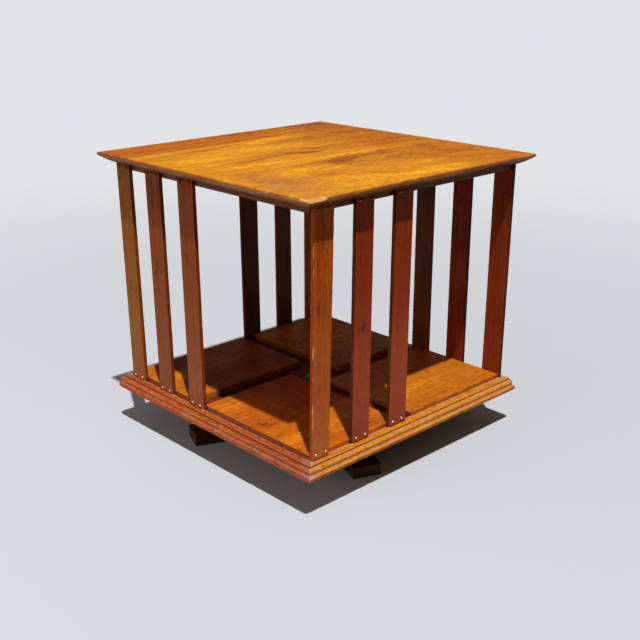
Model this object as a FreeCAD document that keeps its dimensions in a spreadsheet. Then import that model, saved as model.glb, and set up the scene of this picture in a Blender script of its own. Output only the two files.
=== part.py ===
import FreeCAD, Part
import math
import os
import re

import Sketcher
from FreeCAD import Rotation, Vector

# Revolving desktop bookcase.
#
# A square slatted case turns freely on a crossed foot.  The frame stands on the floor at z = 0 with
# +Z up and the pivot on the Z axis.  Each side of the case is built once as the front side, which
# faces -Y, and carried round by quarter turns: front, right, back, left.

SIZES = [
    ("top_side", 380, "side of the square top"),
    ("top_thickness", 12.5, "height of the top, edge included"),
    ("top_edge_band", 2.8, "upright band of the top's edge"),
    ("top_edge_radius", 50, "radius of the swell under the top's edge"),
    ("top_arris", 0.8, "rounding of the top's upper arris"),
    ("plank_left_width", 85, "width of the top's left plank"),
    ("plank_middle_width", 147, "width of the top's middle plank"),
    ("carcass_side", 338, "side of the square that the slats are nailed to"),
    ("slat_width", 27, "width of a slat"),
    ("slat_thickness", 5, "thickness of a slat"),
    ("slat_gap", 34.6, "opening between two slats"),
    ("slat_length", 282.2, "length of a slat"),
    ("slat_arris", 0.6, "rounding of a slat's long edges"),
    ("slat_count", 3, "slats on each side"),
    ("nail_spread", 17, "distance between the two nails of a slat's end"),
    ("nail_drop", 1.9, "a foot nail's depth under the shelf boards' top"),
    ("nail_length", 9, "length of a nail under its head"),
    ("nail_diameter", 1.2, "diameter of a nail's shank"),
    ("nail_head_diameter", 2.6, "diameter of a nail's domed head"),
    ("nail_head_height", 0.9, "height of a nail's domed head"),
    ("base_board_thickness", 9.5, "thickness of the base board"),
    ("shelf_board_thickness", 8, "thickness of a shelf board"),
    ("shelf_arris", 1.8, "rounding of a shelf board's upper arrises"),
    ("groove_width", 24, "width of the groove between two shelf boards"),
    ("groove_front", 30.5, "front groove's centre line, left of the pivot seen from its side"),
    ("groove_right", 15.75, "right groove's centre line"),
    ("groove_back", 17.5, "back groove's centre line"),
    ("groove_left", 24.5, "left groove's centre line"),
    ("rail_thickness", 7, "height of a top rail"),
    ("rail_width", 45, "width of a top rail"),
    ("moulding_width", 17.5, "how far the base moulding stands out from the base board"),
    ("moulding_rise", 2.8, "height of the moulding above the base board"),
    ("moulding_drop", 3.6, "how far the moulding hangs under the base board"),
    ("moulding_flat", 10.8, "width of the moulding's top flat, which the slats stand on"),
    ("flat_round", 0.8, "rounding of the flat's outer arris"),
    ("quirk_width", 0.8, "width of the quirk beside the flat"),
    ("quirk_depth", 2.6, "depth of the quirk under the flat"),
    ("ovolo_drop", 2.1, "top of the ovolo under the flat"),
    ("ovolo_radius", 3.4, "radius of the ovolo"),
    ("cove_reach", 3.5, "how far the cove's upper end stands in from the lip"),
    ("cove_rise", 2.2, "height of the cove"),
    ("cove_radius", 3, "radius of the cove"),
    ("lip_height", 7.7, "height of the lip"),
    ("lip_round", 1.2, "rounding of the lip"),
    ("foot_length", 339, "length of a foot bar"),
    ("foot_width", 36, "width of a foot bar"),
    ("foot_height", 26, "height of a foot bar at the middle"),
    ("foot_tip_height", 14, "height of a foot bar at its tips"),
    ("foot_level_length", 104, "level stretch on top of a foot bar"),
    ("foot_turn", -22.4, "turn of the lower foot bar from +X, in degrees"),
    ("hub_diameter", 96, "diameter of the hub block"),
    ("hub_height", 18, "height of the hub block"),
    ("hub_chamfer", 2, "chamfer of the hub block's upper rim"),
    ("plate_thickness", 3, "thickness of both pivot plates"),
    ("lower_plate_diameter", 60, "diameter of the lower pivot plate"),
    ("upper_plate_side", 66, "side of the square upper pivot plate"),
    ("thrust_diameter", 34, "diameter of the thrust washer"),
    ("thrust_thickness", 2, "thickness of the thrust washer"),
    ("thrust_film", 0.1, "greased gap over the thrust washer"),
    ("pivot_diameter", 10, "diameter of the pivot bolt"),
    ("pivot_fit", 0.05, "radial running clearance of the bolt in its bush"),
    ("pivot_clearance", 0.25, "radial clearance of the bolt in the stand"),
    ("bush_wall", 3, "wall of the pivot bush"),
    ("hex_width", 16, "width across flats of the bolt's head and its nut"),
    ("head_height", 5, "height of the bolt's head"),
    ("head_recess", 2, "how far the bolt's head stands in from the floor"),
    ("head_room", 1.5, "radial room round the bolt's head"),
    ("retainer_diameter", 28, "diameter of the retaining washer"),
    ("retainer_thickness", 1.5, "thickness of the retaining washer"),
    ("end_play", 0.3, "play between the base board and the retaining washer"),
    ("nut_height", 4.8, "height of the pivot nut"),
    ("bolt_end", 1, "length of bolt that shows over the nut"),
    ("bolt_chamfer", 0.8, "chamfer of the bolt's end"),
    ("screw_head_diameter", 7, "diameter of a countersunk screw's head"),
    ("screw_head_height", 2, "height of a countersunk screw's head"),
    ("screw_diameter", 3.5, "diameter of a screw's shank"),
    ("screw_point", 3, "length of a screw's point"),
    ("slot_width", 0.8, "width of a screw's slot"),
    ("slot_depth", 0.9, "depth of a screw's slot"),
    ("pilot_clearance", 0.05, "radial clearance of nails and screws in their holes"),
    ("hub_screw_length", 28, "length of a hub screw"),
    ("hub_screw_radius", 40, "distance of a hub screw from the pivot"),
    ("plate_screw_length", 9, "length of a pivot plate's screw"),
    ("lower_screw_radius", 22.5, "distance of a lower plate's screw from the pivot"),
    ("upper_screw_spread", 48, "distance between the upper plate's screws"),
    ("board_screw_length", 14, "length of a shelf board's screw"),
    ("board_screw_inset", 30, "distance of a shelf board's screws from the board's outer edge"),
    ("board_screw_start", 20, "first shelf board screw, right of the pivot"),
    ("top_screw_length", 16, "length of a screw between a rail and the top"),
    ("top_screw_left", 90, "first top screw, left of the pivot"),
    ("top_screw_right", 60, "second top screw, right of the pivot"),
    ("trim_margin", 5, "how far a cutting outline runs past the piece"),
]
NAMES = {name for name, _, _ in SIZES}
SIDES = ["front", "right", "back", "left"]
TINY = 1e-9
SHORT_EDGE = 1e-4

doc = FreeCAD.newDocument("revolving_bookcase")
sheet = doc.addObject("Spreadsheet::Sheet", "dims")
for row, (name, value, meaning) in enumerate(SIZES, start=1):
    sheet.set(f"A{row}", str(value))
    sheet.setAlias(f"A{row}", name)
    sheet.set(f"B{row}", meaning)
doc.recompute()

# Levels, from the floor up.
HUB_TOP = "(foot_height + hub_height)"
LOWER_PLATE_TOP = f"({HUB_TOP} + plate_thickness)"
CASE_SEAT = f"({LOWER_PLATE_TOP} + thrust_thickness + thrust_film)"
CASE_BOTTOM = f"({CASE_SEAT} + plate_thickness)"
BASE_TOP = f"({CASE_BOTTOM} + base_board_thickness)"
SHELF_TOP = f"({BASE_TOP} + shelf_board_thickness)"
SLAT_FOOT = f"({BASE_TOP} + moulding_rise)"
SLAT_HEAD = f"({SLAT_FOOT} + slat_length)"
RAIL_BOTTOM = f"({SLAT_HEAD} - rail_thickness)"
RETAINER_BOTTOM = f"({BASE_TOP} + end_play)"
NUT_BOTTOM = f"({RETAINER_BOTTOM} + retainer_thickness)"

# Distances from the pivot's axis.
CARCASS = "(carcass_side / 2)"
SLAT_FACE = "(carcass_side / 2 + slat_thickness)"
TOP_EDGE = "(top_side / 2)"
PIVOT = "(pivot_diameter / 2)"
BUSH = "(pivot_diameter / 2 + pivot_fit + bush_wall)"
SLAT_PITCH = "(slat_width + slat_gap)"


def bound(words):
    """The expression that the document reads: every size comes from the sheet."""
    return re.sub(r"[a-z]\w*", lambda hit: f"dims.{hit[0]}" if hit[0] in NAMES else hit[0], words)


def number(words):
    return float(sheet.evalExpression(bound(words)))


def bind(thing, **sizes):
    for name, words in sizes.items():
        thing.setExpression(name, bound(words))


def place(thing, x, y, z, quarter=0):
    """Puts a piece of the front side at (x, y, z) and carries it round by quarter turns."""
    across, along = [(x, y), (f"-({y})", x), (f"-({x})", f"-({y})"), (y, f"-({x})")][quarter]
    thing.Placement.Rotation = Rotation(Vector(0, 0, 1), 90 * quarter)
    for axis, words in zip("xyz", (across, along, z)):
        thing.setExpression(f"Placement.Base.{axis}", bound(words))
    return thing


def spot(x, y, z, quarter=0):
    """A point of the front side, carried round by quarter turns."""
    point = Vector(number(x), number(y), number(z))
    return Rotation(Vector(0, 0, 1), 90 * quarter).multVec(point)


def new_body(name):
    return doc.addObject("PartDesign::Body", name)


def new_sketch(body, plane):
    sketch = body.newObject("Sketcher::SketchObject", f"{body.Name}_sketch")
    support = next(item for item in body.Origin.OriginFeatures if item.Role == plane)
    sketch.AttachmentSupport = (support, [""])
    sketch.MapMode = "FlatFace"
    return sketch


def hold(sketch, edge, end, x, y):
    """Fixes one end of an edge, or a circle's centre, at (x, y) of its sketch."""
    for kind, axis, words in (("DistanceX", -2, x), ("DistanceY", -1, y)):
        value = number(words)
        if abs(value) < TINY:
            sketch.addConstraint(Sketcher.Constraint("PointOnObject", edge, end, axis))
            continue
        ends = (-1, 1, edge, end) if value > 0 else (edge, end, -1, 1)
        index = sketch.addConstraint(Sketcher.Constraint(kind, *ends, abs(value)))
        sketch.setExpression(f"Constraints[{index}]", bound(words if value > 0 else f"-({words})"))


def outline(sketch, corners):
    """Draws a closed outline.

    A corner is (x, y), or (x, y, radius, side) where an arc runs to the next corner with its centre
    on that side, "left" or "right", of the way there.
    """
    points = [Vector(number(corner[0]), number(corner[1]), 0) for corner in corners]
    edges = []
    for corner, start, end in zip(corners, points, points[1:] + points[:1]):
        if len(corner) == 2:
            edge = sketch.addGeometry(Part.LineSegment(start, end))
        else:
            radius, side = number(corner[2]), 1 if corner[3] == "left" else -1
            chord = end - start
            across = Vector(-chord.y, chord.x, 0).normalize() * side
            reach = radius - math.sqrt(radius ** 2 - (chord.Length / 2) ** 2)
            edge = sketch.addGeometry(Part.Arc(start, (start + end) / 2 - across * reach, end))
        first = 1 if sketch.getPoint(edge, 1).isEqual(start, SHORT_EDGE) else 2
        edges.append((edge, first))
    for index, corner in enumerate(corners):
        edge, first = edges[index]
        before, before_first = edges[index - 1]
        sketch.addConstraint(Sketcher.Constraint("Coincident", before, 3 - before_first, edge, first))
        hold(sketch, edge, first, corner[0], corner[1])
        if len(corner) > 2:
            radius = sketch.addConstraint(Sketcher.Constraint("Radius", edge, number(corner[2])))
            sketch.setExpression(f"Constraints[{radius}]", bound(corner[2]))


def rectangle(x0, y0, x1, y1):
    return [(x0, y0), (x1, y0), (x1, y1), (x0, y1)]


def mirrored(corners):
    """The same outline on the other side of the sketch's upright axis."""
    other = {"left": "right", "right": "left"}
    return [(f"-({corner[0]})", corner[1], *corner[2:3], *(other[side] for side in corner[3:]))
            for corner in corners]


def pad(body, plane, corners, length, both_ways=False):
    sketch = new_sketch(body, plane)
    outline(sketch, corners)
    feature = body.newObject("PartDesign::Pad", f"{body.Name}_pad")
    feature.Profile = sketch
    feature.SideType = "Symmetric" if both_ways else "One side"
    bind(feature, Length=length)
    doc.recompute()
    return feature


def trim(body, plane, outlines):
    """Cuts outlines right through a body, both ways from the sketch's plane."""
    before = body.Shape.Volume
    sketch = new_sketch(body, plane)
    for corners in outlines:
        outline(sketch, corners)
    feature = body.newObject("PartDesign::Pocket", f"{body.Name}_trim")
    feature.Profile = sketch
    feature.SideType = "Symmetric"
    feature.Type = "ThroughAll"
    doc.recompute()
    if body.Shape.Volume >= before:
        raise RuntimeError(f"{body.Name}: the trim takes nothing away")
    return feature


def turn(body, corners):
    """Turns an outline of radius and height about the upright axis."""
    sketch = new_sketch(body, "XZ_Plane")
    outline(sketch, corners)
    feature = body.newObject("PartDesign::Revolution", f"{body.Name}_turned")
    feature.Profile = sketch
    feature.ReferenceAxis = (sketch, ["V_Axis"])
    feature.Angle = 360
    doc.recompute()
    return feature


def ring(name, inner, outer, height):
    body = new_body(name)
    turn(body, rectangle(inner, "0", outer, height))
    return body


def soften(body, radius, wanted):
    """Rounds the edges of the body's last feature that the test picks."""
    base = body.Tip
    names = [f"Edge{index}" for index, edge in enumerate(base.Shape.Edges, start=1) if wanted(edge)]
    feature = body.newObject("PartDesign::Fillet", f"{body.Name}_arris")
    feature.Base = (base, names)
    bind(feature, Radius=radius)
    doc.recompute()


def set_of(name, pattern, places):
    """One object with a copy of the pattern at each (point, way its head faces)."""
    copies = []
    for point, facing in places:
        copy = pattern.Shape.copy()
        copy.Placement = FreeCAD.Placement(point, Rotation(Vector(0, 0, 1), facing))
        copies.append(copy)
    feature = doc.addObject("Part::Feature", name)
    feature.Shape = Part.makeCompound(copies)
    return feature


parts = []


def keep(thing):
    parts.append(thing)
    return thing


def drill(blank, *tools):
    """Cuts holes in a blank; the result takes the blank's name and the blank is renamed."""
    name = blank.Label
    blank.Label = f"{name}_blank"
    result = doc.addObject("Part::Cut", f"{name}_drilled")
    result.Base = blank
    result.Tool = tools[0]
    if len(tools) > 1:
        result.Tool = doc.addObject("Part::Compound", f"{name}_holes")
        result.Tool.Links = list(tools)
    result.Label = name
    return keep(result)


# Fasteners.  Each pattern has its seat at z = 0, its head above or flush, its shank below.

def screw_pattern(name, length):
    """A slotted countersunk wood screw and the hole that it leaves."""
    head, shank = "(screw_head_diameter / 2)", "(screw_diameter / 2)"
    screw = new_body(name)
    turn(screw, [("0", "0"), (head, "0"), (shank, "-screw_head_height"),
                 (shank, f"-({length} - screw_point)"), ("0", f"-{length}")])
    slot = new_sketch(screw, "XY_Plane")
    outline(slot, rectangle(f"-{head}", "-slot_width / 2", head, "slot_width / 2"))
    cut = screw.newObject("PartDesign::Pocket", f"{name}_slot")
    cut.Profile = slot
    bind(cut, Length="slot_depth")
    bore = f"({shank} + pilot_clearance)"
    hole = new_body(f"{name}_hole")
    turn(hole, [("0", "slot_depth"), (head, "slot_depth"), (head, "0"), (bore, "-screw_head_height"),
                (bore, f"-{length}"), ("0", f"-{length}")])
    return screw, hole


def nail_pattern():
    """A round-headed brass nail and its hole; the head is a shallow dome."""
    shank, head = "(nail_diameter / 2)", "(nail_head_diameter / 2)"
    dome = f"(({head} * {head} + nail_head_height * nail_head_height) / (2 * nail_head_height))"
    nail = new_body("nail")
    turn(nail, [("0", "-nail_length"), (shank, "-nail_length + nail_diameter"), (shank, "0"),
                (head, "0", dome, "left"), ("0", "nail_head_height")])
    bore = f"({shank} + pilot_clearance)"
    hole = new_body("nail_hole")
    turn(hole, rectangle("0", "-nail_length", bore, "nail_head_height"))
    return nail, hole


def fasten(name, patterns, places):
    """Keeps a set of fasteners and gives back the set of their holes."""
    fastener, hole = patterns
    keep(set_of(name, fastener, places))
    return set_of(f"{name}_holes", hole, places)


def nail_places(side, z):
    """Two nails at the same height in each slat of a side, driven from outside."""
    outward = Rotation(Vector(0, 0, 1), 90 * side).multVec(Vector(0, -1, 0))
    return [(spot(f"-{CARCASS} + slat_width / 2 + {slat} * {SLAT_PITCH} + {way} * nail_spread / 2",
                  f"-{SLAT_FACE}", z, side), outward)
            for slat in range(round(number("slat_count"))) for way in (-1, 1)]


# ---------------------------------------------------------------- stand

def foot_bars():
    """Two bars halved over each other, level over the hub and tapered to their tips."""
    half, tip, level = "(foot_length / 2)", "foot_tip_height", "(foot_level_length / 2)"
    lap, joint = "(foot_width / 2)", "(foot_height / 2)"
    top_right = [(half, tip), (level, "foot_height")]
    top_left = [(f"-{level}", "foot_height"), (f"-{half}", tip)]
    notch_above = [(lap, "foot_height"), (lap, joint), (f"-{lap}", joint), (f"-{lap}", "foot_height")]
    notch_below = [(f"-{lap}", "0"), (f"-{lap}", joint), (lap, joint), (lap, "0")]
    ends = [(f"-{half}", "0"), (half, "0")]
    shapes = {
        "foot_bar_lower": (ends + top_right + notch_above + top_left, "foot_turn"),
        "foot_bar_upper": (ends[:1] + notch_below + ends[1:] + top_right + top_left, "foot_turn + 90"),
    }
    bars = []
    for name, (corners, angle) in shapes.items():
        bar = new_body(name)
        pad(bar, "XZ_Plane", corners, "foot_width", both_ways=True)
        bar.setExpression("Placement.Rotation.Angle", bound(angle))
        bars.append(bar)
    return bars


def round_places(count, radius, z, first_angle, facing):
    """Places on a circle round the pivot."""
    step = 360 / count
    return [(Rotation(Vector(0, 0, 1), number(first_angle) + step * index).multVec(
        Vector(number(radius), 0, number(z))), facing) for index in range(count)]


def hex_corners(width):
    """A hexagon of the given width across its flats."""
    corner, flat = f"({width} / sqrt(3))", f"({width} / 2)"
    return [(corner, "0"), (f"{corner} / 2", flat), (f"-{corner} / 2", flat), (f"-{corner}", "0"),
            (f"-{corner} / 2", f"-{flat}"), (f"{corner} / 2", f"-{flat}")]


def pivot_bolt():
    """Hexagon bolt that stands up through the cross and carries the nut over the base board."""
    bolt = new_body("pivot_bolt")
    pad(bolt, "XY_Plane", hex_corners("hex_width"), "head_height")
    end = f"({NUT_BOTTOM} + nut_height + bolt_end - head_recess)"
    turn(bolt, [("0", "0"), (PIVOT, "0"), (PIVOT, f"{end} - bolt_chamfer"),
                (f"{PIVOT} - bolt_chamfer", end), ("0", end)])
    return keep(place(bolt, "0", "0", "head_recess"))


def pivot_nut():
    nut = new_body("pivot_nut")
    pad(nut, "XY_Plane", hex_corners("hex_width"), "nut_height")
    bore = new_sketch(nut, "XY_Plane")
    circle = bore.addGeometry(Part.Circle(Vector(0, 0, 0), Vector(0, 0, 1), number(PIVOT)))
    bore.addConstraint(Sketcher.Constraint("Coincident", circle, 3, -1, 1))
    size = bore.addConstraint(Sketcher.Constraint("Radius", circle, number(PIVOT)))
    bore.setExpression(f"Constraints[{size}]", bound(PIVOT))
    cut = nut.newObject("PartDesign::Pocket", "pivot_nut_bore")
    cut.Profile = bore
    cut.SideType = "Symmetric"
    cut.Type = "ThroughAll"
    return keep(place(nut, "0", "0", NUT_BOTTOM))


def stand(plate_screw):
    up = Vector(0, 0, 1)
    bolt_bore = f"({PIVOT} + pivot_clearance)"
    hub_holes = fasten("hub_screws", screw_pattern("hub_screw", "hub_screw_length"),
                       round_places(4, "hub_screw_radius", HUB_TOP, "foot_turn", up))
    plate_holes = fasten("lower_plate_screws", plate_screw,
                         round_places(4, "lower_screw_radius", LOWER_PLATE_TOP, "foot_turn + 45", up))
    bolt_way = ring("bolt_way", "0", bolt_bore, HUB_TOP)
    head_way = ring("head_way", "0", "(hex_width / sqrt(3) + head_room)", "(head_recess + head_height)")
    lower_bar, upper_bar = foot_bars()
    drill(lower_bar, bolt_way, head_way, hub_holes)
    drill(upper_bar, bolt_way, hub_holes)
    hub = new_body("hub_block")
    rim = "(hub_diameter / 2)"
    turn(hub, [(bolt_bore, "0"), (rim, "0"), (rim, "hub_height - hub_chamfer"),
               (f"{rim} - hub_chamfer", "hub_height"), (bolt_bore, "hub_height")])
    drill(place(hub, "0", "0", "foot_height"), hub_holes, plate_holes)
    lower_plate = ring("lower_pivot_plate", bolt_bore, "(lower_plate_diameter / 2)", "plate_thickness")
    drill(place(lower_plate, "0", "0", HUB_TOP), plate_holes)
    thrust = ring("thrust_washer", bolt_bore, "(thrust_diameter / 2)", "thrust_thickness")
    keep(place(thrust, "0", "0", LOWER_PLATE_TOP))
    retainer = ring("retaining_washer", bolt_bore, "(retainer_diameter / 2)", "retainer_thickness")
    keep(place(retainer, "0", "0", RETAINER_BOTTOM))
    pivot_bolt()
    pivot_nut()


# ---------------------------------------------------------------- case

def moulding(side):
    """A length of base moulding with mitred ends: flat, quirk, ovolo, cove and lip, from the top down."""
    top = "(moulding_drop + base_board_thickness + moulding_rise)"
    profile = [
        ("0", "0"),
        ("moulding_width", "0"),
        ("moulding_width", "lip_height - lip_round", "lip_round", "left"),
        ("moulding_width - lip_round", "lip_height", "cove_radius", "right"),
        ("moulding_width - cove_reach", "lip_height + cove_rise", "ovolo_radius", "left"),
        ("moulding_flat + quirk_width", f"{top} - ovolo_drop"),
        ("moulding_flat", f"{top} - quirk_depth"),
        ("moulding_flat", f"{top} - flat_round", "flat_round", "left"),
        ("moulding_flat - flat_round", top),
        ("0", top),
    ]
    body = new_body(f"base_moulding_{SIDES[side]}")
    pad(body, "YZ_Plane", mirrored(profile), "carcass_side + 2 * moulding_width", both_ways=True)
    far = f"({CARCASS} + moulding_width + trim_margin)"
    mitre = [(f"{CARCASS} - trim_margin", "trim_margin"), (far, "-(moulding_width + trim_margin)"),
             (far, "trim_margin")]
    trim(body, "XY_Plane", [mitre, mirrored(mitre)])
    return keep(place(body, "0", f"-{CARCASS}", f"({CASE_BOTTOM} - moulding_drop)", side))


def shelf_board(side):
    """A shelf board of the pinwheel: it ends at its own side's groove and the next side's one."""
    here, beyond = f"groove_{SIDES[side]}", f"groove_{SIDES[(side + 1) % len(SIDES)]}"
    body = new_body(f"shelf_board_{SIDES[side]}")
    length = f"({CARCASS} + {here} - groove_width / 2)"
    depth = f"({CARCASS} - {beyond} - groove_width / 2)"
    pad(body, "XY_Plane", rectangle(f"-{length}", "0", "0", depth), "shelf_board_thickness")
    top = number("shelf_board_thickness")
    soften(body, "shelf_arris", lambda edge: all(abs(end.Z - top) < SHORT_EDGE for end in edge.Vertexes))
    return place(body, CARCASS, f"-{CARCASS}", BASE_TOP, side)


def slat(side, index):
    """A slat with rounded long edges; its inner face lies on the carcass."""
    body = new_body(f"slat_{SIDES[side]}_{index + 1}")
    width, depth, arris = "slat_width", "-slat_thickness", "slat_arris"
    section = [(arris, "0", arris, "left"), ("0", f"-{arris}"),
               ("0", f"{depth} + {arris}", arris, "left"), (arris, depth),
               (f"{width} - {arris}", depth, arris, "left"), (width, f"{depth} + {arris}"),
               (width, f"-{arris}", arris, "left"), (f"{width} - {arris}", "0")]
    pad(body, "XY_Plane", section, "slat_length")
    return place(body, f"-{CARCASS} + {index} * {SLAT_PITCH}", f"-{CARCASS}", SLAT_FOOT, side)


def top_rail(side):
    """A rail under the top; each one runs from its own left corner to the next rail."""
    body = new_body(f"top_rail_{SIDES[side]}")
    pad(body, "XY_Plane", rectangle("0", "0", "carcass_side - rail_width", "rail_width"),
        "rail_thickness")
    return place(body, f"-{CARCASS}", f"-{CARCASS}", RAIL_BOTTOM, side)


def top_planks(screw_holes):
    """Three planks edge to edge; the overhang swells outwards from the slats to an upright band."""
    band, arris = "(top_thickness - top_edge_band)", "top_arris"
    edge = [(SLAT_FACE, "0", "top_edge_radius", "left"), (TOP_EDGE, band),
            (TOP_EDGE, f"top_thickness - {arris}", arris, "left"), (f"{TOP_EDGE} - {arris}", "top_thickness")]
    beyond = f"({TOP_EDGE} + trim_margin)"
    outside = edge + [(f"{TOP_EDGE} - {arris}", "top_thickness + trim_margin"),
                      (beyond, "top_thickness + trim_margin"), (beyond, "-trim_margin"),
                      (SLAT_FACE, "-trim_margin")]
    first = f"(-{TOP_EDGE} + plank_left_width)"
    second = f"({first} + plank_middle_width)"
    sections = {
        "top_plank_left": mirrored(edge) + [(first, "top_thickness"), (first, "0")],
        "top_plank_middle": rectangle(first, "0", second, "top_thickness"),
        "top_plank_right": edge + [(second, "top_thickness"), (second, "0")],
    }
    for name, section in sections.items():
        body = new_body(name)
        pad(body, "XZ_Plane", section, "top_side + trim_margin", both_ways=True)
        trim(body, "YZ_Plane", [outside, mirrored(outside)])
        drill(place(body, "0", "0", SLAT_HEAD), screw_holes)


def case(plate_screw):
    down = Vector(0, 0, -1)
    quarters = range(len(SIDES))
    plate_holes = fasten("upper_plate_screws", plate_screw,
                         round_places(4, "upper_screw_spread / sqrt(2)", CASE_SEAT, "45", down))
    board_edge = f"(-{CARCASS} + board_screw_inset)"
    board_holes = fasten("shelf_board_screws", screw_pattern("board_screw", "board_screw_length"),
                         [(spot(x, board_edge, CASE_BOTTOM, side), down)
                          for side in quarters for x in ("board_screw_start", f"-{board_edge}")])
    top_holes = fasten("top_screws", screw_pattern("top_screw", "top_screw_length"),
                       [(spot(x, f"-{CARCASS} + rail_width / 2", RAIL_BOTTOM, side), down)
                        for side in quarters for x in ("-top_screw_left", "top_screw_right")])
    nails = nail_pattern()
    low, high = f"{SHELF_TOP} - nail_drop", f"{SLAT_HEAD} - rail_thickness / 2"
    foot_nails = [fasten(f"foot_nails_{SIDES[side]}", nails, nail_places(side, low)) for side in quarters]
    head_nails = [fasten(f"head_nails_{SIDES[side]}", nails, nail_places(side, high)) for side in quarters]

    plate = new_body("upper_pivot_plate")
    half = "(upper_plate_side / 2)"
    pad(plate, "XY_Plane", rectangle(f"-{half}", f"-{half}", half, half), "plate_thickness")
    bush_length = "(plate_thickness + base_board_thickness)"
    bush_way = place(ring("bush_way", "0", BUSH, bush_length), "0", "0", CASE_SEAT)
    drill(place(plate, "0", "0", CASE_SEAT), bush_way, plate_holes)
    keep(place(ring("pivot_bush", f"({PIVOT} + pivot_fit)", BUSH, bush_length), "0", "0", CASE_SEAT))

    base = new_body("base_board")
    pad(base, "XY_Plane", rectangle(f"-{CARCASS}", f"-{CARCASS}", CARCASS, CARCASS), "base_board_thickness")
    drill(place(base, "0", "0", CASE_BOTTOM), bush_way, plate_holes, board_holes)

    for side in quarters:
        before = (side - 1) % len(SIDES)
        moulding(side)
        drill(shelf_board(side), board_holes, foot_nails[side], foot_nails[(side + 1) % len(SIDES)])
        drill(top_rail(side), top_holes, head_nails[side], head_nails[before])
        for index in range(round(number("slat_count"))):
            drill(slat(side, index), foot_nails[side], head_nails[side])
    top_planks(top_holes)


plate_screws = screw_pattern("plate_screw", "plate_screw_length")
stand(plate_screws)
case(plate_screws)
doc.recompute()

for thing in doc.Objects:
    if {"Invalid", "Error"} & set(thing.State):
        raise RuntimeError(f"{thing.Label}: {thing.State}")
for part in parts:
    if part.Shape.isNull() or not part.Shape.isValid():
        raise RuntimeError(f"{part.Label}: no valid shape")

os.makedirs("parts", exist_ok=True)
for part in parts:
    part.Shape.exportStep(f"parts/{part.Label}.step")
    print(f"{part.Label:24} {len(part.Shape.Solids):3} solids {part.Shape.Volume:12.1f} mm3")
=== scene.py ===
"""Looks of a slatted bookcase that revolves on a crossed foot.

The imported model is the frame.  Boards, slats, mouldings and nails are worked out here as surfaces that
stand for their nodes, with rubbed arrises, chips and timber coordinates of their own; the stand, the
rails and the bearing keep their nodes and get a finish.  Lengths are metres, +Z is up, and the front of
the case faces -Y.
"""

import logging
import math
from dataclasses import dataclass, replace
from enum import Enum

import bpy
import numpy as np
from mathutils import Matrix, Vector

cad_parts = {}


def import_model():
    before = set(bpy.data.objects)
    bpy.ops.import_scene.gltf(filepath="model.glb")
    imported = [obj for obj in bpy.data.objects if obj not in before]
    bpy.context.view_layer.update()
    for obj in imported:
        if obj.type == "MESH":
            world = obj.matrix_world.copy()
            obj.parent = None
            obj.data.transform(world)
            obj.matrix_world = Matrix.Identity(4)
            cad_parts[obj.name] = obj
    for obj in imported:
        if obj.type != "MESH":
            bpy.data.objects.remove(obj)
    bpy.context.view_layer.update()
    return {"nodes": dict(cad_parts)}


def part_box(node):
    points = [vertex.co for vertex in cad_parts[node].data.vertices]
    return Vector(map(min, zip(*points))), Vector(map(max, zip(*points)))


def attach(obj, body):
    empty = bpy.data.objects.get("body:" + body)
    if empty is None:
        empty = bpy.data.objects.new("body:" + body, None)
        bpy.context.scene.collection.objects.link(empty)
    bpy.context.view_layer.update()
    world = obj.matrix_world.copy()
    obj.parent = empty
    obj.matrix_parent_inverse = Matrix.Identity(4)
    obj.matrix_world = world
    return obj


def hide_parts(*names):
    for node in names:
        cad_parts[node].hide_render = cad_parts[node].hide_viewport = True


MM = 0.001
LOG = logging.getLogger("bookcase")
Array = np.ndarray
Colour = tuple[int, int, int]
Triple = tuple[float, float, float]
Socket = bpy.types.NodeSocket
Node = bpy.types.Node
Tree = bpy.types.NodeTree
Material = bpy.types.Material


# ---------------------------------------------------------------- shapes


@dataclass(frozen=True)
class Wander:
    """A smooth random function of place: a sum of sine waves whose ways and phases are seeded.

    value(p) = sum over k of sin(2 pi p . way_k / length_k + phase_k), scaled to about -1 to 1.
    """

    seed: int
    length: float
    waves: int = 20

    def at(self, points: Array) -> Array:
        """The function's value at each point.

        Args:
            points: array of places, the last axis holding x, y, z.

        Returns:
            Array of values with the last axis gone.
        """
        draw = np.random.default_rng(self.seed)
        ways = draw.normal(size=(self.waves, 3))
        ways /= np.linalg.norm(ways, axis=1, keepdims=True)
        lengths = self.length * draw.uniform(0.6, 1.7, (self.waves, 1))
        phases = draw.uniform(0.0, math.tau, self.waves)
        waves = np.sin(points @ (ways / lengths).T * math.tau + phases)
        return waves.sum(-1) / math.sqrt(self.waves * 2.0)

    def along(self, places: Array) -> Array:
        """The function's value on a line, for an array of distances along it."""
        return self.at(np.stack([places, places * 0.0, places * 0.0], -1))


def smooth(values: Array, low: float, high: float) -> Array:
    """Eases from 0 at low to 1 at high: 3 t^2 - 2 t^3, with t the clipped share of the way."""
    share = np.clip((values - low) / (high - low), 0.0, 1.0)
    return share * share * (3.0 - 2.0 * share)


def add_object(name: str, data: bpy.types.ID) -> bpy.types.Object:
    """Makes an object of the given data and links it to the scene.

    Args:
        name: its name.
        data: its mesh, lamp or camera.

    Returns:
        The object.
    """
    made = bpy.data.objects.new(name, data)
    bpy.context.scene.collection.objects.link(made)
    return made


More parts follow.
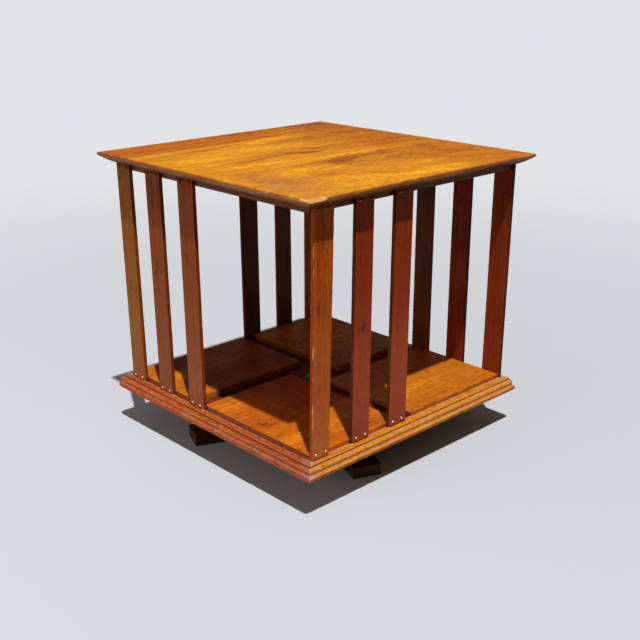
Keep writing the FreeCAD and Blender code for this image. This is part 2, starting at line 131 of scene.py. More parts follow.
@dataclass
class Skin:
    """A closed surface: points, four-cornered faces, end faces and the values that finishes read."""

    points: Array
    quads: Array
    ends: list[list[int]]
    values: dict[str, Array]

    @staticmethod
    def joined(skins: list["Skin"]) -> "Skin":
        """Several surfaces as one, each kept closed."""
        starts = np.cumsum([0] + [len(skin.points) for skin in skins[:-1]])
        return Skin(
            np.concatenate([skin.points for skin in skins]),
            np.concatenate([skin.quads + start for skin, start in zip(skins, starts)]),
            [[index + int(start) for index in end]
             for skin, start in zip(skins, starts) for end in skin.ends],
            {name: np.concatenate([skin.values[name] for skin in skins]) for name in skins[0].values},
        )

    def volume(self) -> float:
        """Signed volume: a sixth of the sum of a . (b x c) over the faces cut into triangles.

        Returns:
            The volume, negative where the faces point inwards.
        """
        fans = [(end[0], b, c) for end in self.ends for b, c in zip(end[1:], end[2:])]
        triangles = np.concatenate([self.quads[:, [0, 1, 2]], self.quads[:, [0, 2, 3]],
                                    np.array(fans, int).reshape(-1, 3)])
        a, b, c = (self.points[triangles[:, corner]] for corner in range(3))
        return float(np.einsum("ij,ij->i", a, np.cross(b, c)).sum() / 6.0)

    def piece(self, name: str, sharp: float = 35.0) -> bpy.types.Object:
        """Makes the scene's object, faces outwards, smooth but for edges sharper than an angle.

        Args:
            name: the piece's name.
            sharp: degrees from which an edge stays sharp.

        Returns:
            The new object, at the origin, with its place in its mesh.
        """
        turn = slice(None, None, -1) if self.volume() < 0.0 else slice(None)
        faces = self.quads[:, turn].tolist() + [end[turn] for end in self.ends]
        mesh = bpy.data.meshes.new(name)
        mesh.from_pydata(self.points.tolist(), [], faces)
        for key, data in self.values.items():
            kind = "FLOAT_VECTOR" if data.ndim == 2 else "FLOAT"
            attribute = mesh.attributes.new(key, kind, "POINT")
            attribute.data.foreach_set("vector" if data.ndim == 2 else "value",
                                       data.astype(np.float32).ravel())
        mesh.shade_smooth()
        mesh.set_sharp_from_angle(angle=math.radians(sharp))
        return add_object(name, mesh)


def sweep(rings: Array, values: dict[str, Array]) -> Skin:
    """A closed surface through rings of points: point (i, j) joins (i + 1, j) and (i, j + 1).

    Args:
        rings: rings, points of a ring, x y z.
        values: arrays of rings by points, or with a last axis of three.

    Returns:
        The surface, with its first and last ring closed by one face each.
    """
    count, size = rings.shape[:2]
    index = np.arange(count * size).reshape(count, size)
    onward = np.roll(index, -1, axis=1)
    quads = np.stack([index[:-1], onward[:-1], onward[1:], index[1:]], -1).reshape(-1, 4)
    flat = {name: data.reshape((count * size,) + data.shape[2:]) for name, data in values.items()}
    return Skin(rings.reshape(-1, 3), quads, [index[0, ::-1].tolist(), index[-1].tolist()], flat)


def lathe(profile: Array, sides: int) -> tuple[Array, Array]:
    """A profile of (radius, height) turned about +Z: (r cos a, r sin a, h) for each angle a.

    Args:
        profile: points of the profile from one pole to the other.
        sides: points round the axis.

    Returns:
        Rings of points, and the angle of each point.
    """
    angle = np.linspace(0.0, math.tau, sides, endpoint=False)
    radius, height = profile[:, :1], profile[:, 1:]
    rings = np.stack([radius * np.cos(angle), radius * np.sin(angle), height + 0.0 * angle], -1)
    return rings, np.broadcast_to(angle, rings.shape[:2])


def quarter_arc(radius: float, steps: int) -> Array:
    """Distances in from an edge that divide a rounding evenly: r (1 - cos a) for a up to 90 degrees."""
    return radius * (1.0 - np.cos(np.linspace(0.0, math.pi / 2.0, steps)))


def spread(low: float, high: float, near: Array, step: float) -> Array:
    """Places from low to high: the given distances in from both ends, and even steps between them.

    Args:
        low: the first place.
        high: the last place.
        near: distances in from either end, from 0 upwards.
        step: about how far the places between them stand apart.

    Returns:
        The places in order.
    """
    inner_low, inner_high = low + near[-1], high - near[-1]
    count = max(2, round((inner_high - inner_low) / step))
    middle = np.linspace(inner_low, inner_high, count + 1)[1:-1]
    return np.concatenate([low + near, middle, (high - near)[::-1]])


# ---------------------------------------------------------------- timber


@dataclass(frozen=True)
class Log:
    """Where a piece was sawn from its log, which sets the figure on every face.

    The finish reads (along, across, through) with the pith at across = through = 0.
    """

    along: Triple
    across: Triple
    seed: int
    pith_across: float
    pith_depth: float
    lean: float

    def coordinates(self, points: Array) -> Array:
        """Timber coordinates of points in the frame: turned into the log, leant and moved along.

        Args:
            points: places, the last axis holding x, y, z.

        Returns:
            Array of the same shape.
        """
        through = np.cross(self.along, self.across)
        run, wide, deep = (points @ np.array(way, float) for way in (self.along, self.across, through))
        wide = wide - self.pith_across
        deep = deep + self.pith_depth + self.lean * run
        return np.stack([run + self.seed * 3.7, wide, deep], -1)


UP = (0.0, 0.0, 1.0)
ALONG_X = (1.0, 0.0, 0.0)
ALONG_Y = (0.0, 1.0, 0.0)


class Side(Enum):
    """A side of the case and its quarter turns from the front."""

    FRONT = 0
    RIGHT = 1
    BACK = 2
    LEFT = 3

    @property
    def label(self) -> str:
        """The side's name in the nodes' names."""
        return self.name.lower()

    def carry(self, points: Array) -> Array:
        """Carries points of the front side round to this side.

        Args:
            points: places, the last axis holding x, y, z.

        Returns:
            The same points, turned by the side's quarter turns about +Z.
        """
        quarter = self.value * math.pi / 2.0
        cos, sin = round(math.cos(quarter)), round(math.sin(quarter))
        return points @ np.array([[cos, sin, 0.0], [-sin, cos, 0.0], [0.0, 0.0, 1.0]])

    def way(self, direction: Triple) -> Triple:
        """A direction of the front side, carried round to this side."""
        x, y, z = self.carry(np.array([direction], float))[0]
        return (float(x), float(y), float(z))


# ---------------------------------------------------------------- finishes

# GRIME_AND_SHADE is the colour that grime and painted shade darken towards: grime round nails and in
# mitres, painted shade under the top, in the moulding's hollows and at the slats' heads and feet.
GRIME_AND_SHADE = (40, 22, 13)
DUST = (160, 134, 124)
PORE = (60, 28, 12)
NAIL_GRIME = (46, 36, 22)


def linear(colour: Colour) -> tuple[float, float, float, float]:
    """A colour written in 0 to 255 as the linear values that sockets hold.

    Args:
        colour: red, green and blue as a screen shows them.

    Returns:
        Red, green, blue and a full alpha.
    """
    shares = [part / 255.0 for part in colour]
    values = [s / 12.92 if s <= 0.04045 else ((s + 0.055) / 1.055) ** 2.4 for s in shares]
    return (values[0], values[1], values[2], 1.0)


class Wiring:
    """Adds nodes to one tree; a value given for a socket is a number, a colour or another socket."""

    def __init__(self, tree: Tree) -> None:
        """Works on the given tree."""
        self.tree = tree

    def fill(self, socket: Socket, value: object) -> None:
        """Links a socket's value into another, or writes a plain value there."""
        if isinstance(value, Socket):
            self.tree.links.new(value, socket)
        else:
            socket.default_value = value

    def put(self, kind: str, settings: dict[str, object] | None = None, **inputs: object) -> Node:
        """Adds a node.

        Args:
            kind: the node's type name.
            settings: properties of the node.
            inputs: values by socket name, with _ for a space.

        Returns:
            The new node.
        """
        node = self.tree.nodes.new(kind)
        for name, value in (settings or {}).items():
            setattr(node, name, value)
        for name, value in inputs.items():
            self.fill(node.inputs[name.replace("_", " ")], value)
        return node

    def math(self, operation: str, *values: object) -> Socket:
        """One arithmetic step.

        Args:
            operation: the step's name.
            values: one to three values.

        Returns:
            The result.
        """
        node = self.put("ShaderNodeMath", {"operation": operation})
        for socket, value in zip(node.inputs, values):
            self.fill(socket, value)
        return node.outputs[0]

    def times(self, first: object, second: object) -> Socket:
        """The product of two values."""
        return self.math("MULTIPLY", first, second)

    def vector(self, operation: str, *vectors: object, **inputs: object) -> Socket:
        """One step of vector arithmetic.

        Args:
            operation: the step's name.
            vectors: one or two vectors.
            inputs: other values by socket name.

        Returns:
            The resulting vector.
        """
        node = self.put("ShaderNodeVectorMath", {"operation": operation}, **inputs)
        for socket, value in zip(node.inputs, vectors):
            self.fill(socket, value)
        return node.outputs[0]

    def ease(self, value: object, low: float, high: float, start: float = 0.0,
             end: float = 1.0) -> Socket:
        """Eases a value from start at low to end at high."""
        node = self.put("ShaderNodeMapRange", {"interpolation_type": "SMOOTHSTEP"}, Value=value,
                        From_Min=low, From_Max=high, To_Min=start, To_Max=end)
        return node.outputs["Result"]

    def blend(self, share: object, first: object, second: object, way: str = "MIX") -> Socket:
        """Mixes two colours.

        Args:
            share: how much of the second is mixed in, 0 to 1.
            first: a colour.
            second: another.
            way: the mix's name.

        Returns:
            The mixed colour.
        """
        node = self.put("ShaderNodeMix", {"data_type": "RGBA", "blend_type": way})
        sockets = (node.inputs[0], node.inputs[6], node.inputs[7])
        for socket, value in zip(sockets, (share, first, second)):
            self.fill(socket, value)
        return node.outputs[2]

    def stretched(self, vector: object, scale: Triple, turn: float = 0.0) -> Socket:
        """A vector scaled along each axis, and turned about the third."""
        node = self.put("ShaderNodeMapping", Vector=vector, Scale=scale, Rotation=(0.0, 0.0, turn))
        return node.outputs[0]

    def noise(self, vector: object, scale: Triple, detail: float = 2.0,
              rough: float = 0.5, turn: float = 0.0) -> Node:
        """Noise with its own number of waves per metre along each axis."""
        return self.put("ShaderNodeTexNoise", Vector=self.stretched(vector, scale, turn), Scale=1.0,
                        Detail=detail, Roughness=rough)

    def value(self, name: str) -> Socket:
        """A number that the piece's points carry; 0 on a piece without it."""
        return self.put("ShaderNodeAttribute", {"attribute_name": name}).outputs["Fac"]

    def use(self, group: Tree, **inputs: object) -> Node:
        """Places a shared group.

        Args:
            group: the group.
            inputs: values by socket name, with _ for a space.

        Returns:
            The node that holds it.
        """
        return self.put("ShaderNodeGroup", {"node_tree": group}, **inputs)


def new_material(name: str) -> tuple[Material, Wiring, Node]:
    """Starts a material.

    Args:
        name: its name.

    Returns:
        The material, its wiring and its shader.
    """
    made = bpy.data.materials.new(name)
    made.use_nodes = True
    return made, Wiring(made.node_tree), made.node_tree.nodes["Principled BSDF"]


@dataclass(frozen=True)
class GroupSocket:
    """A named input or output of a shared group."""

    name: str
    kind: str = "NodeSocketFloat"
    default: float = 0.0


def new_group(name: str, inputs: list[GroupSocket],
              outputs: list[GroupSocket]) -> tuple[Tree, Wiring, Node, Node]:
    """Starts a shared group.

    Args:
        name: the group's name.
        inputs: its inputs.
        outputs: its outputs.

    Returns:
        The group, its wiring, and the nodes that hold its inputs and outputs.
    """
    group = bpy.data.node_groups.new(name, "ShaderNodeTree")
    for way, sockets in (("INPUT", inputs), ("OUTPUT", outputs)):
        for item in sockets:
            made = group.interface.new_socket(name=item.name, in_out=way, socket_type=item.kind)
            if way == "INPUT" and item.kind == "NodeSocketFloat":
                made.default_value = item.default
    wiring = Wiring(group)
    return group, wiring, wiring.put("NodeGroupInput"), wiring.put("NodeGroupOutput")


def figure_group() -> Tree:
    """Timber figure from timber coordinates.

    Rings: the distance from the pith over the ring spacing, its fraction eased slowly up and quickly
    down, so that each year ends in a dark line.  Streaks, pores and fibre are noise drawn out along the
    grain; ripple is noise that runs across it.

    Returns:
        The group.
    """
    group, w, given, result = new_group(
        "timber_figure",
        [GroupSocket("Vector", "NodeSocketVector"), GroupSocket("Ring Spacing", default=0.006),
         GroupSocket("Wander", default=0.004), GroupSocket("Pore Length", default=0.012)],
        [GroupSocket(name)
         for name in ("Rings", "Streaks", "Flecks", "Bands", "Pores", "Fibre", "Ripple")])
    vector = given.outputs["Vector"]
    drift = w.noise(vector, (4.0, 16.0, 16.0), 3.0)
    centred = w.vector("SUBTRACT", drift.outputs["Color"], (0.5, 0.5, 0.5))
    moved = w.vector("SCALE", centred, Scale=given.outputs["Wander"])
    warped = w.vector("ADD", vector, moved)
    parts = w.put("ShaderNodeSeparateXYZ", Vector=warped)
    wide, deep = parts.outputs[1], parts.outputs[2]
    square = w.math("ADD", w.times(wide, wide), w.times(deep, deep))
    radius = w.math("SQRT", square)
    year = w.math("FRACT", w.math("DIVIDE", radius, given.outputs["Ring Spacing"]))
    late = w.times(w.ease(year, 0.15, 0.86), w.ease(year, 0.88, 1.0, 1.0, 0.0))
    w.fill(result.inputs["Rings"], late)
    for name, source, waves, low, high in (
            ("Streaks", warped, ((9.0, 230.0, 230.0), 6.0, 0.72), 0.36, 0.66),
            ("Flecks", warped, ((84.0, 500.0, 500.0), 4.0, 0.62), 0.34, 0.66),
            ("Bands", warped, ((2.6, 34.0, 34.0), 2.0, 0.5), 0.36, 0.64),
            ("Ripple", vector, ((130.0, 34.0, 34.0), 2.0, 0.5, 0.35), 0.38, 0.62)):
        w.fill(result.inputs[name], w.ease(w.noise(source, *waves).outputs["Fac"], low, high))
    drawn = w.math("DIVIDE", 1.0, given.outputs["Pore Length"])
    lengthways = w.put("ShaderNodeCombineXYZ", X=drawn, Y=900.0, Z=900.0)
    along = w.vector("MULTIPLY", warped, lengthways.outputs[0])
    pores = w.put("ShaderNodeTexNoise", Vector=along, Scale=1.0, Detail=1.0, Roughness=0.4)
    w.fill(result.inputs["Pores"], w.ease(pores.outputs["Fac"], 0.56, 0.70))
    fibre = w.noise(warped, (40.0, 2600.0, 2600.0), 1.0)
    w.fill(result.inputs["Fibre"], fibre.outputs["Fac"])
    return group


def rub_group() -> Tree:
    """Where handling has rubbed the stain away: the points' wear, broken up by two sizes of noise.

    Returns:
        The group.
    """
    group, w, given, result = new_group(
        "rubbed_edges",
        [GroupSocket("Vector", "NodeSocketVector"), GroupSocket("Wear"),
         GroupSocket("Amount", default=1.0)],
        [GroupSocket("Mask")])
    coarse = w.noise(given.outputs["Vector"], (60.0, 240.0, 240.0), 2.0).outputs["Fac"]
    fine = w.noise(given.outputs["Vector"], (420.0, 1500.0, 1500.0), 2.0).outputs["Fac"]
    broken = w.math("ADD", w.times(coarse, 0.9), w.times(fine, 0.45))
    wear = w.times(given.outputs["Wear"], given.outputs["Amount"])
    w.fill(result.inputs["Mask"], w.ease(w.times(wear, broken), 0.28, 0.62))
    return group


def dirt_and_shade_group() -> Tree:
    """Old polish, grime and painted shade gather where the points say so, and dust lies in thin patches
    over it.

    Returns:
        The group.
    """
    group, w, given, result = new_group(
        "settled_dirt_and_shade",
        [GroupSocket("Vector", "NodeSocketVector"), GroupSocket("Grime"), GroupSocket("Dust")],
        [GroupSocket("Grime Mask"), GroupSocket("Dust Mask")])
    patch = w.noise(given.outputs["Vector"], (45.0, 160.0, 160.0), 3.0, 0.6).outputs["Fac"]
    speck = w.noise(given.outputs["Vector"], (900.0, 1400.0, 1400.0), 2.0, 0.7).outputs["Fac"]
    grime = w.times(given.outputs["Grime"], w.ease(patch, 0.2, 0.6, 0.55, 1.15))
    w.fill(result.inputs["Grime Mask"], w.ease(grime, 0.12, 0.85))
    dust = w.times(given.outputs["Dust"], w.ease(patch, 0.3, 0.68))
    grains = w.times(dust, w.ease(speck, 0.38, 0.66, 0.35, 1.0))
    w.fill(result.inputs["Dust Mask"], grains)
    return group


def scuff_group() -> Tree:
    """Fine scratches: the borders of warped cells, kept only where a slow noise lets them through.

    Returns:
        The group.
    """
    group, w, given, result = new_group(
        "fine_scratches",
        [GroupSocket("Vector", "NodeSocketVector"), GroupSocket("Amount", default=1.0)],
        [GroupSocket("Mask")])
    lines = w.put("ShaderNodeTexVoronoi", {"feature": "DISTANCE_TO_EDGE"}, Scale=1.0, Randomness=1.0,
                  Vector=w.stretched(given.outputs["Vector"], (26.0, 62.0, 62.0), 0.7))
    thin = w.ease(lines.outputs["Distance"], 0.0, 0.014, 1.0, 0.0)
    some = w.noise(given.outputs["Vector"], (30.0, 30.0, 30.0), 2.0).outputs["Fac"]
    shown = w.times(thin, w.ease(some, 0.56, 0.66))
    w.fill(result.inputs["Mask"], w.times(shown, given.outputs["Amount"]))
    return group


class Shared:
    """The groups that several finishes place, built once."""

    def __init__(self) -> None:
        """Builds all the groups."""
        self.figure = figure_group()
        self.rub = rub_group()
        self.dirt_and_shade = dirt_and_shade_group()
        self.scuff = scuff_group()


@dataclass(frozen=True)
class Wood:
    """A stained and polished timber: three colours for its dark, middling and light figure.

    The heart-and-shade tint multiplies the figure where the points carry it: heartwood on the top, the
    side faces of the slats, and painted shade where the top's shadow falls on the shelf boards. The
    sheen-and-dust colour whitens it where the points carry dust and painted sheen.
    """

    name: str
    dark: Colour
    body: Colour
    light: Colour
    worn: Colour = (196, 118, 62)
    raw: Colour = (222, 168, 116)
    heart_and_shade_tint: Colour = (234, 205, 240)
    ring_spacing: float = 7.0 * MM
    rings: float = 0.12
    streaks: float = 0.22
    flecks: float = 0.3
    bands: float = 0.12
    pores: float = 0.3
    ripple: float = 0.0
    wear: float = 1.0
    grime: float = 1.0
    dust: float = 0.0
    # Colour of dust and of painted sheen, a reflection of the pale floor.
    sheen_and_dust: Colour = (150, 118, 112)
    scuffs: float = 0.0
    roughness: float = 0.42
    coat: float = 0.1
    specular: float = 0.045
    pith_depth: float = 60.0 * MM

    def material(self, shared: Shared, turn: float | None = None) -> Material:
        """Builds the material.

        Args:
            shared: the shared groups.
            turn: the grain's turn about +Z in degrees on a node, or None to read the piece's own
                timber coordinates.

        Returns:
            The material.
        """
        name = self.name if turn is None else f"{self.name}_{turn:.0f}"
        made, w, shader = new_material(name)
        if turn is None:
            vector = w.put("ShaderNodeAttribute", {"attribute_name": "timber"}).outputs["Vector"]
        else:
            place = w.put("ShaderNodeTexCoord").outputs["Object"]
            vector = w.put("ShaderNodeMapping", Vector=place, Rotation=(0.0, 0.0, -math.radians(turn)),
                           Location=(0.0, 0.0, self.pith_depth)).outputs[0]
        figure = w.use(shared.figure, Vector=vector, Ring_Spacing=self.ring_spacing)
        tone = self.figured(w, figure)
        rub = w.use(shared.rub, Vector=vector, Wear=w.value("wear"), Amount=self.wear)
        dirt_and_shade = w.use(shared.dirt_and_shade, Vector=vector, Dust=w.math("ADD", w.value("dust"), self.dust),
                     Grime=w.times(w.value("grime"), self.grime))
        scuff = w.use(shared.scuff, Vector=vector, Amount=self.scuffs)
        tone = w.blend(w.times(rub.outputs["Mask"], 0.8), tone, linear(self.worn))
        # Darker where the points carry grime and painted shade.
        tone = w.blend(w.times(dirt_and_shade.outputs["Grime Mask"], 0.85), tone, linear(GRIME_AND_SHADE))
        tone = w.blend(w.times(scuff.outputs["Mask"], 0.5), tone, linear(self.raw))
        bare = w.blend(w.times(figure.outputs["Streaks"], 0.5), linear(self.raw),
                       linear(self.worn))
        tone = w.blend(w.value("raw"), tone, bare)
        tone = w.blend(dirt_and_shade.outputs["Dust Mask"], tone, linear(DUST))
        # Whiter where the points carry dust and painted sheen.
        tone = w.blend(w.value("sheen_and_dust"), tone, linear(self.sheen_and_dust))
        w.fill(shader.inputs["Base Color"], tone)
        self.surface(w, shader, figure, rub, dirt_and_shade)
        return made

    def figured(self, w: Wiring, figure: Node) -> Socket:
        """The stained timber's colour before wear and dirt.

        Args:
            w: the material's wiring.
            figure: the placed figure group.

        Returns:
            The colour.
        """
        out = figure.outputs
        swing = self.streaks + self.flecks + self.bands + self.ripple - self.rings
        level = w.math("ADD", w.value("tone"), 0.5 - 0.5 * swing)
        for name, amount in (("Streaks", self.streaks), ("Flecks", self.flecks), ("Bands", self.bands),
                             ("Ripple", self.ripple), ("Rings", -self.rings)):
            level = w.math("MULTIPLY_ADD", out[name], amount, level)
        tone = w.blend(w.ease(level, 0.0, 0.5), linear(self.dark), linear(self.body))
        tone = w.blend(w.ease(level, 0.5, 1.0), tone, linear(self.light))
        tone = w.blend(w.value("heart_and_shade_tint"), tone, linear(self.heart_and_shade_tint), "MULTIPLY")
        return w.blend(w.times(out["Pores"], self.pores), tone, linear(PORE))

    def surface(self, w: Wiring, shader: Node, figure: Node, rub: Node, dirt_and_shade: Node) -> None:
        """Gloss and relief: pores sink, fibres stand, and rubbed or dusty places are duller.

        Args:
            w: the material's wiring.
            shader: the material's shader.
            figure: the placed figure group.
            rub: the placed group of rubbed edges.
            dirt_and_shade: the placed group of grime, painted shade and dust.
        """
        dull = w.math("MAXIMUM", rub.outputs["Mask"], dirt_and_shade.outputs["Grime Mask"])
        dull = w.math("MAXIMUM", dull, dirt_and_shade.outputs["Dust Mask"])
        uneven = w.math("MULTIPLY_ADD", figure.outputs["Streaks"], -0.1, self.roughness + 0.05)
        w.fill(shader.inputs["Roughness"], w.math("MULTIPLY_ADD", dull, 0.25, uneven))
        w.fill(shader.inputs["Coat Weight"], w.math("MULTIPLY_ADD", dull, -self.coat, self.coat))
        shader.inputs["Coat Roughness"].default_value = 0.22
        shader.inputs["Specular IOR Level"].default_value = self.specular
        sunk = w.math("MULTIPLY_ADD", figure.outputs["Pores"], -0.7, figure.outputs["Fibre"])
        sunk = w.math("MULTIPLY_ADD", figure.outputs["Rings"], 0.25, sunk)
        bump = w.put("ShaderNodeBump", Height=sunk, Strength=0.35, Distance=0.12 * MM)
        w.fill(shader.inputs["Normal"], bump.outputs[0])


@dataclass(frozen=True)
class Metal:
    """A bare metal with tarnish."""

    name: str
    bright: Colour
    tarnish: Colour
    spots: Colour
    tarnished: float = 0.5
    spotted: float = 0.15
    roughness: float = 0.32
    metallic: float = 1.0

    def material(self, shared: Shared) -> Material:
        """Builds the material.

        Args:
            shared: the shared groups.

        Returns:
            The material.
        """
        made, w, shader = new_material(self.name)
        place = w.put("ShaderNodeTexCoord").outputs["Object"]
        cloud = w.noise(place, (190.0, 190.0, 190.0), 4.0, 0.6).outputs["Fac"]
        speck = w.noise(place, (900.0, 900.0, 900.0), 3.0, 0.65).outputs["Fac"]
        dirt_and_shade = w.use(shared.dirt_and_shade, Vector=place, Grime=w.value("grime"), Dust=0.0)
        film = w.times(w.ease(cloud, 0.4, 0.66), self.tarnished)
        spot = w.times(w.ease(speck, 0.55, 0.68), self.spotted)
        tone = w.blend(film, linear(self.bright), linear(self.tarnish))
        tone = w.blend(spot, tone, linear(self.spots))
        tone = w.blend(dirt_and_shade.outputs["Grime Mask"], tone, linear(NAIL_GRIME))
        w.fill(shader.inputs["Base Color"], tone)
        shader.inputs["Metallic"].default_value = self.metallic
        dull = w.math("MAXIMUM", film, dirt_and_shade.outputs["Grime Mask"])
        w.fill(shader.inputs["Roughness"], w.math("MULTIPLY_ADD", dull, 0.3, self.roughness))
        bump = w.put("ShaderNodeBump", Height=speck, Strength=0.2, Distance=0.06 * MM)
        w.fill(shader.inputs["Normal"], bump.outputs[0])
        return made


@dataclass(frozen=True)
class Filler:
    """Old filler and wax, chalky and stained by the wood."""

    name: str
    pale: Colour = (206, 192, 182)
    stained: Colour = (150, 104, 70)

    def material(self) -> Material:
        """Builds the material.

        Returns:
            The material.
        """
        made, w, shader = new_material(self.name)
        place = w.put("ShaderNodeTexCoord").outputs["Object"]
        lumps = w.noise(place, (700.0, 700.0, 700.0), 4.0, 0.65).outputs["Fac"]
        w.fill(shader.inputs["Base Color"],
               w.blend(w.ease(lumps, 0.42, 0.66), linear(self.pale), linear(self.stained)))
        shader.inputs["Roughness"].default_value = 0.8
        bump = w.put("ShaderNodeBump", Height=lumps, Strength=0.5, Distance=0.3 * MM)
        w.fill(shader.inputs["Normal"], bump.outputs[0])
        return made


class Stain(Enum):
    """The stains of the slats, which have faded differently; SHADE is a darker palette for the slats
    that stand in shade, as painted shade.
    """

    ORANGE = "orange"
    OLIVE = "olive"
    PLUM = "plum"
    RED = "red"
    DEEP = "deep"
    SHADE = "shade"


TOP_WOOD = Wood("honey_top", (150, 82, 12), (206, 131, 13), (247, 182, 28), heart_and_shade_tint=(244, 212, 204),
                ring_spacing=8.0 * MM, scuffs=0.5, wear=0.9, streaks=0.2, flecks=0.4, dust=0.06)
# The shelf's heart-and-shade tint is the red of the top's painted shadow on the boards.
SHELF_WOOD = Wood("amber_shelf", (132, 62, 8), (182, 102, 15), (216, 138, 32), ring_spacing=9.0 * MM,
                  streaks=0.18, flecks=0.34, rings=0.1, ripple=0.1, dust=0.03, scuffs=0.4,
                  worn=(236, 160, 70), heart_and_shade_tint=(255, 190, 160))
# Lit and shaded copies of one moulding wood: the golden one for the sunlit lengths, the darker, redder
# one as painted shade for the shaded lengths.
MOULDING_WOOD = Wood("golden_moulding_sunlit", (136, 72, 24), (204, 126, 32), (234, 158, 52),
                     worn=(226, 160, 98), streaks=0.16, flecks=0.24, rings=0.05, bands=0.1, dust=0.03,
                     sheen_and_dust=(190, 146, 128), roughness=0.45)
SHADED_MOULDING_WOOD = Wood("russet_moulding_shaded", (104, 40, 16), (174, 78, 20), (208, 108, 36),
                            worn=(206, 128, 84), streaks=0.22, flecks=0.3, rings=0.05, bands=0.12,
                            pores=0.4, dust=0.05, sheen_and_dust=(158, 116, 106), roughness=0.45)
RAIL_WOOD = Wood("brown_rail", (58, 31, 15), (98, 56, 28), (124, 75, 40))
FOOT_WOOD = Wood("chocolate_foot", (36, 20, 15), (66, 40, 30), (88, 56, 42), roughness=0.5)
BASE_WOOD = Wood("base_board_brown", (62, 20, 6), (106, 40, 10), (138, 60, 20), dust=0.08,
                 roughness=0.5)
SLAT_FIGURE = Wood("slat", (0, 0, 0), (0, 0, 0), (0, 0, 0), streaks=0.16, flecks=0.2, rings=0.06,
                   bands=0.12, heart_and_shade_tint=(236, 205, 190), coat=0.06, specular=0.03)
SLAT_WOODS = {
    Stain.ORANGE: replace(SLAT_FIGURE, name="orange_slat", dark=(138, 54, 4), body=(190, 90, 12),
                          light=(222, 128, 32), worn=(228, 152, 84), heart_and_shade_tint=(215, 190, 190)),
    Stain.OLIVE: replace(SLAT_FIGURE, name="olive_slat", dark=(94, 52, 14), body=(146, 84, 24),
                         light=(174, 108, 42)),
    Stain.PLUM: replace(SLAT_FIGURE, name="plum_slat", dark=(86, 38, 12), body=(137, 67, 24),
                        light=(163, 85, 35)),
    Stain.RED: replace(SLAT_FIGURE, name="red_slat", dark=(98, 26, 4), body=(146, 50, 9),
                       light=(174, 70, 19), worn=(206, 104, 48), heart_and_shade_tint=(132, 178, 225)),
    Stain.DEEP: replace(SLAT_FIGURE, name="deep_red_slat", dark=(84, 24, 10), body=(130, 46, 18),
                        light=(158, 64, 28), heart_and_shade_tint=(150, 180, 215)),
    Stain.SHADE: replace(SLAT_FIGURE, name="shade_slat", dark=(62, 30, 12), body=(100, 50, 20),
                         light=(126, 70, 32)),
}
NAIL_BRASS = Metal("nail_brass", (255, 243, 212), (214, 186, 126), (120, 94, 50), 0.2, 0.08, 0.34)
# The head nails are darkened as painted shade: SHADED_HEAD_BRASS on the right and back,
# DEEP_SHADED_HEAD_BRASS on the front and left.
SHADED_HEAD_BRASS = Metal("head_nail_brass_shaded", (118, 96, 52), (76, 60, 32), (48, 36, 20), 0.7, 0.3, 0.48)
DEEP_SHADED_HEAD_BRASS = Metal("head_nail_brass_deep_shaded", (92, 62, 32), (60, 38, 20), (38, 24, 14), 0.7, 0.3, 0.5)
BEARING_BRASS = Metal("bearing_brass", (198, 160, 92), (128, 98, 52), (80, 62, 36), 0.7, 0.3, 0.38)
PIVOT_STEEL = Metal("pivot_steel", (132, 134, 138), (86, 80, 76), (84, 52, 34), 0.7, 0.4, 0.4)
GLUE = Filler("old_filler")


# ---------------------------------------------------------------- boards


@dataclass(frozen=True)
class Chip:
    """A splinter off a board's upper arris, with its plane tilted between the face and the edge."""

    start: float
    end: float
    depth: float
    tilt: float = 45.0
    ragged: float = 0.25
    bare: float = 1.0

    def depths(self, places: Array, seed: int) -> Array:
        """How deep the chip cuts: eased in and out, and ragged along the way.

        Args:
            places: places along its edge.
            seed: seeds the raggedness.

        Returns:
            The depth at each place.
        """
        ease = 1.5 * MM
        shape = smooth(places, self.start - ease, self.start + ease)
        shape = shape * (1.0 - smooth(places, self.end - ease, self.end + ease))
        return self.depth * shape * (1.0 + self.ragged * Wander(seed, 5.0 * MM).along(places))


@dataclass(frozen=True)
class Edge:
    """One straight edge of a board: its axis (0 for x, 1 for y), place and outward way."""

    axis: int
    place: float
    outward: int
    chips: tuple[Chip, ...] = ()
    nibble: float = 0.25 * MM

    def inset(self, points: Array) -> Array:
        """Distance in from the edge."""
        return (self.place - points[..., self.axis]) * self.outward


@dataclass(frozen=True)
class Lick:
    """A stroke of figure: its middle, half length along the grain, half width, how much lighter (+) or
    darker (-) it is, and how far it drifts aside for its length."""

    x: float
    y: float
    length: float
    width: float
    amount: float
    skew: float = 0.0


def strokes(*rows: tuple[float, ...]) -> tuple[Lick, ...]:
    """Strokes from rows of middle, half length and half width in millimetres, amount and skew."""
    return tuple(Lick(*(part * MM for part in row[:4]), *row[4:]) for row in rows)


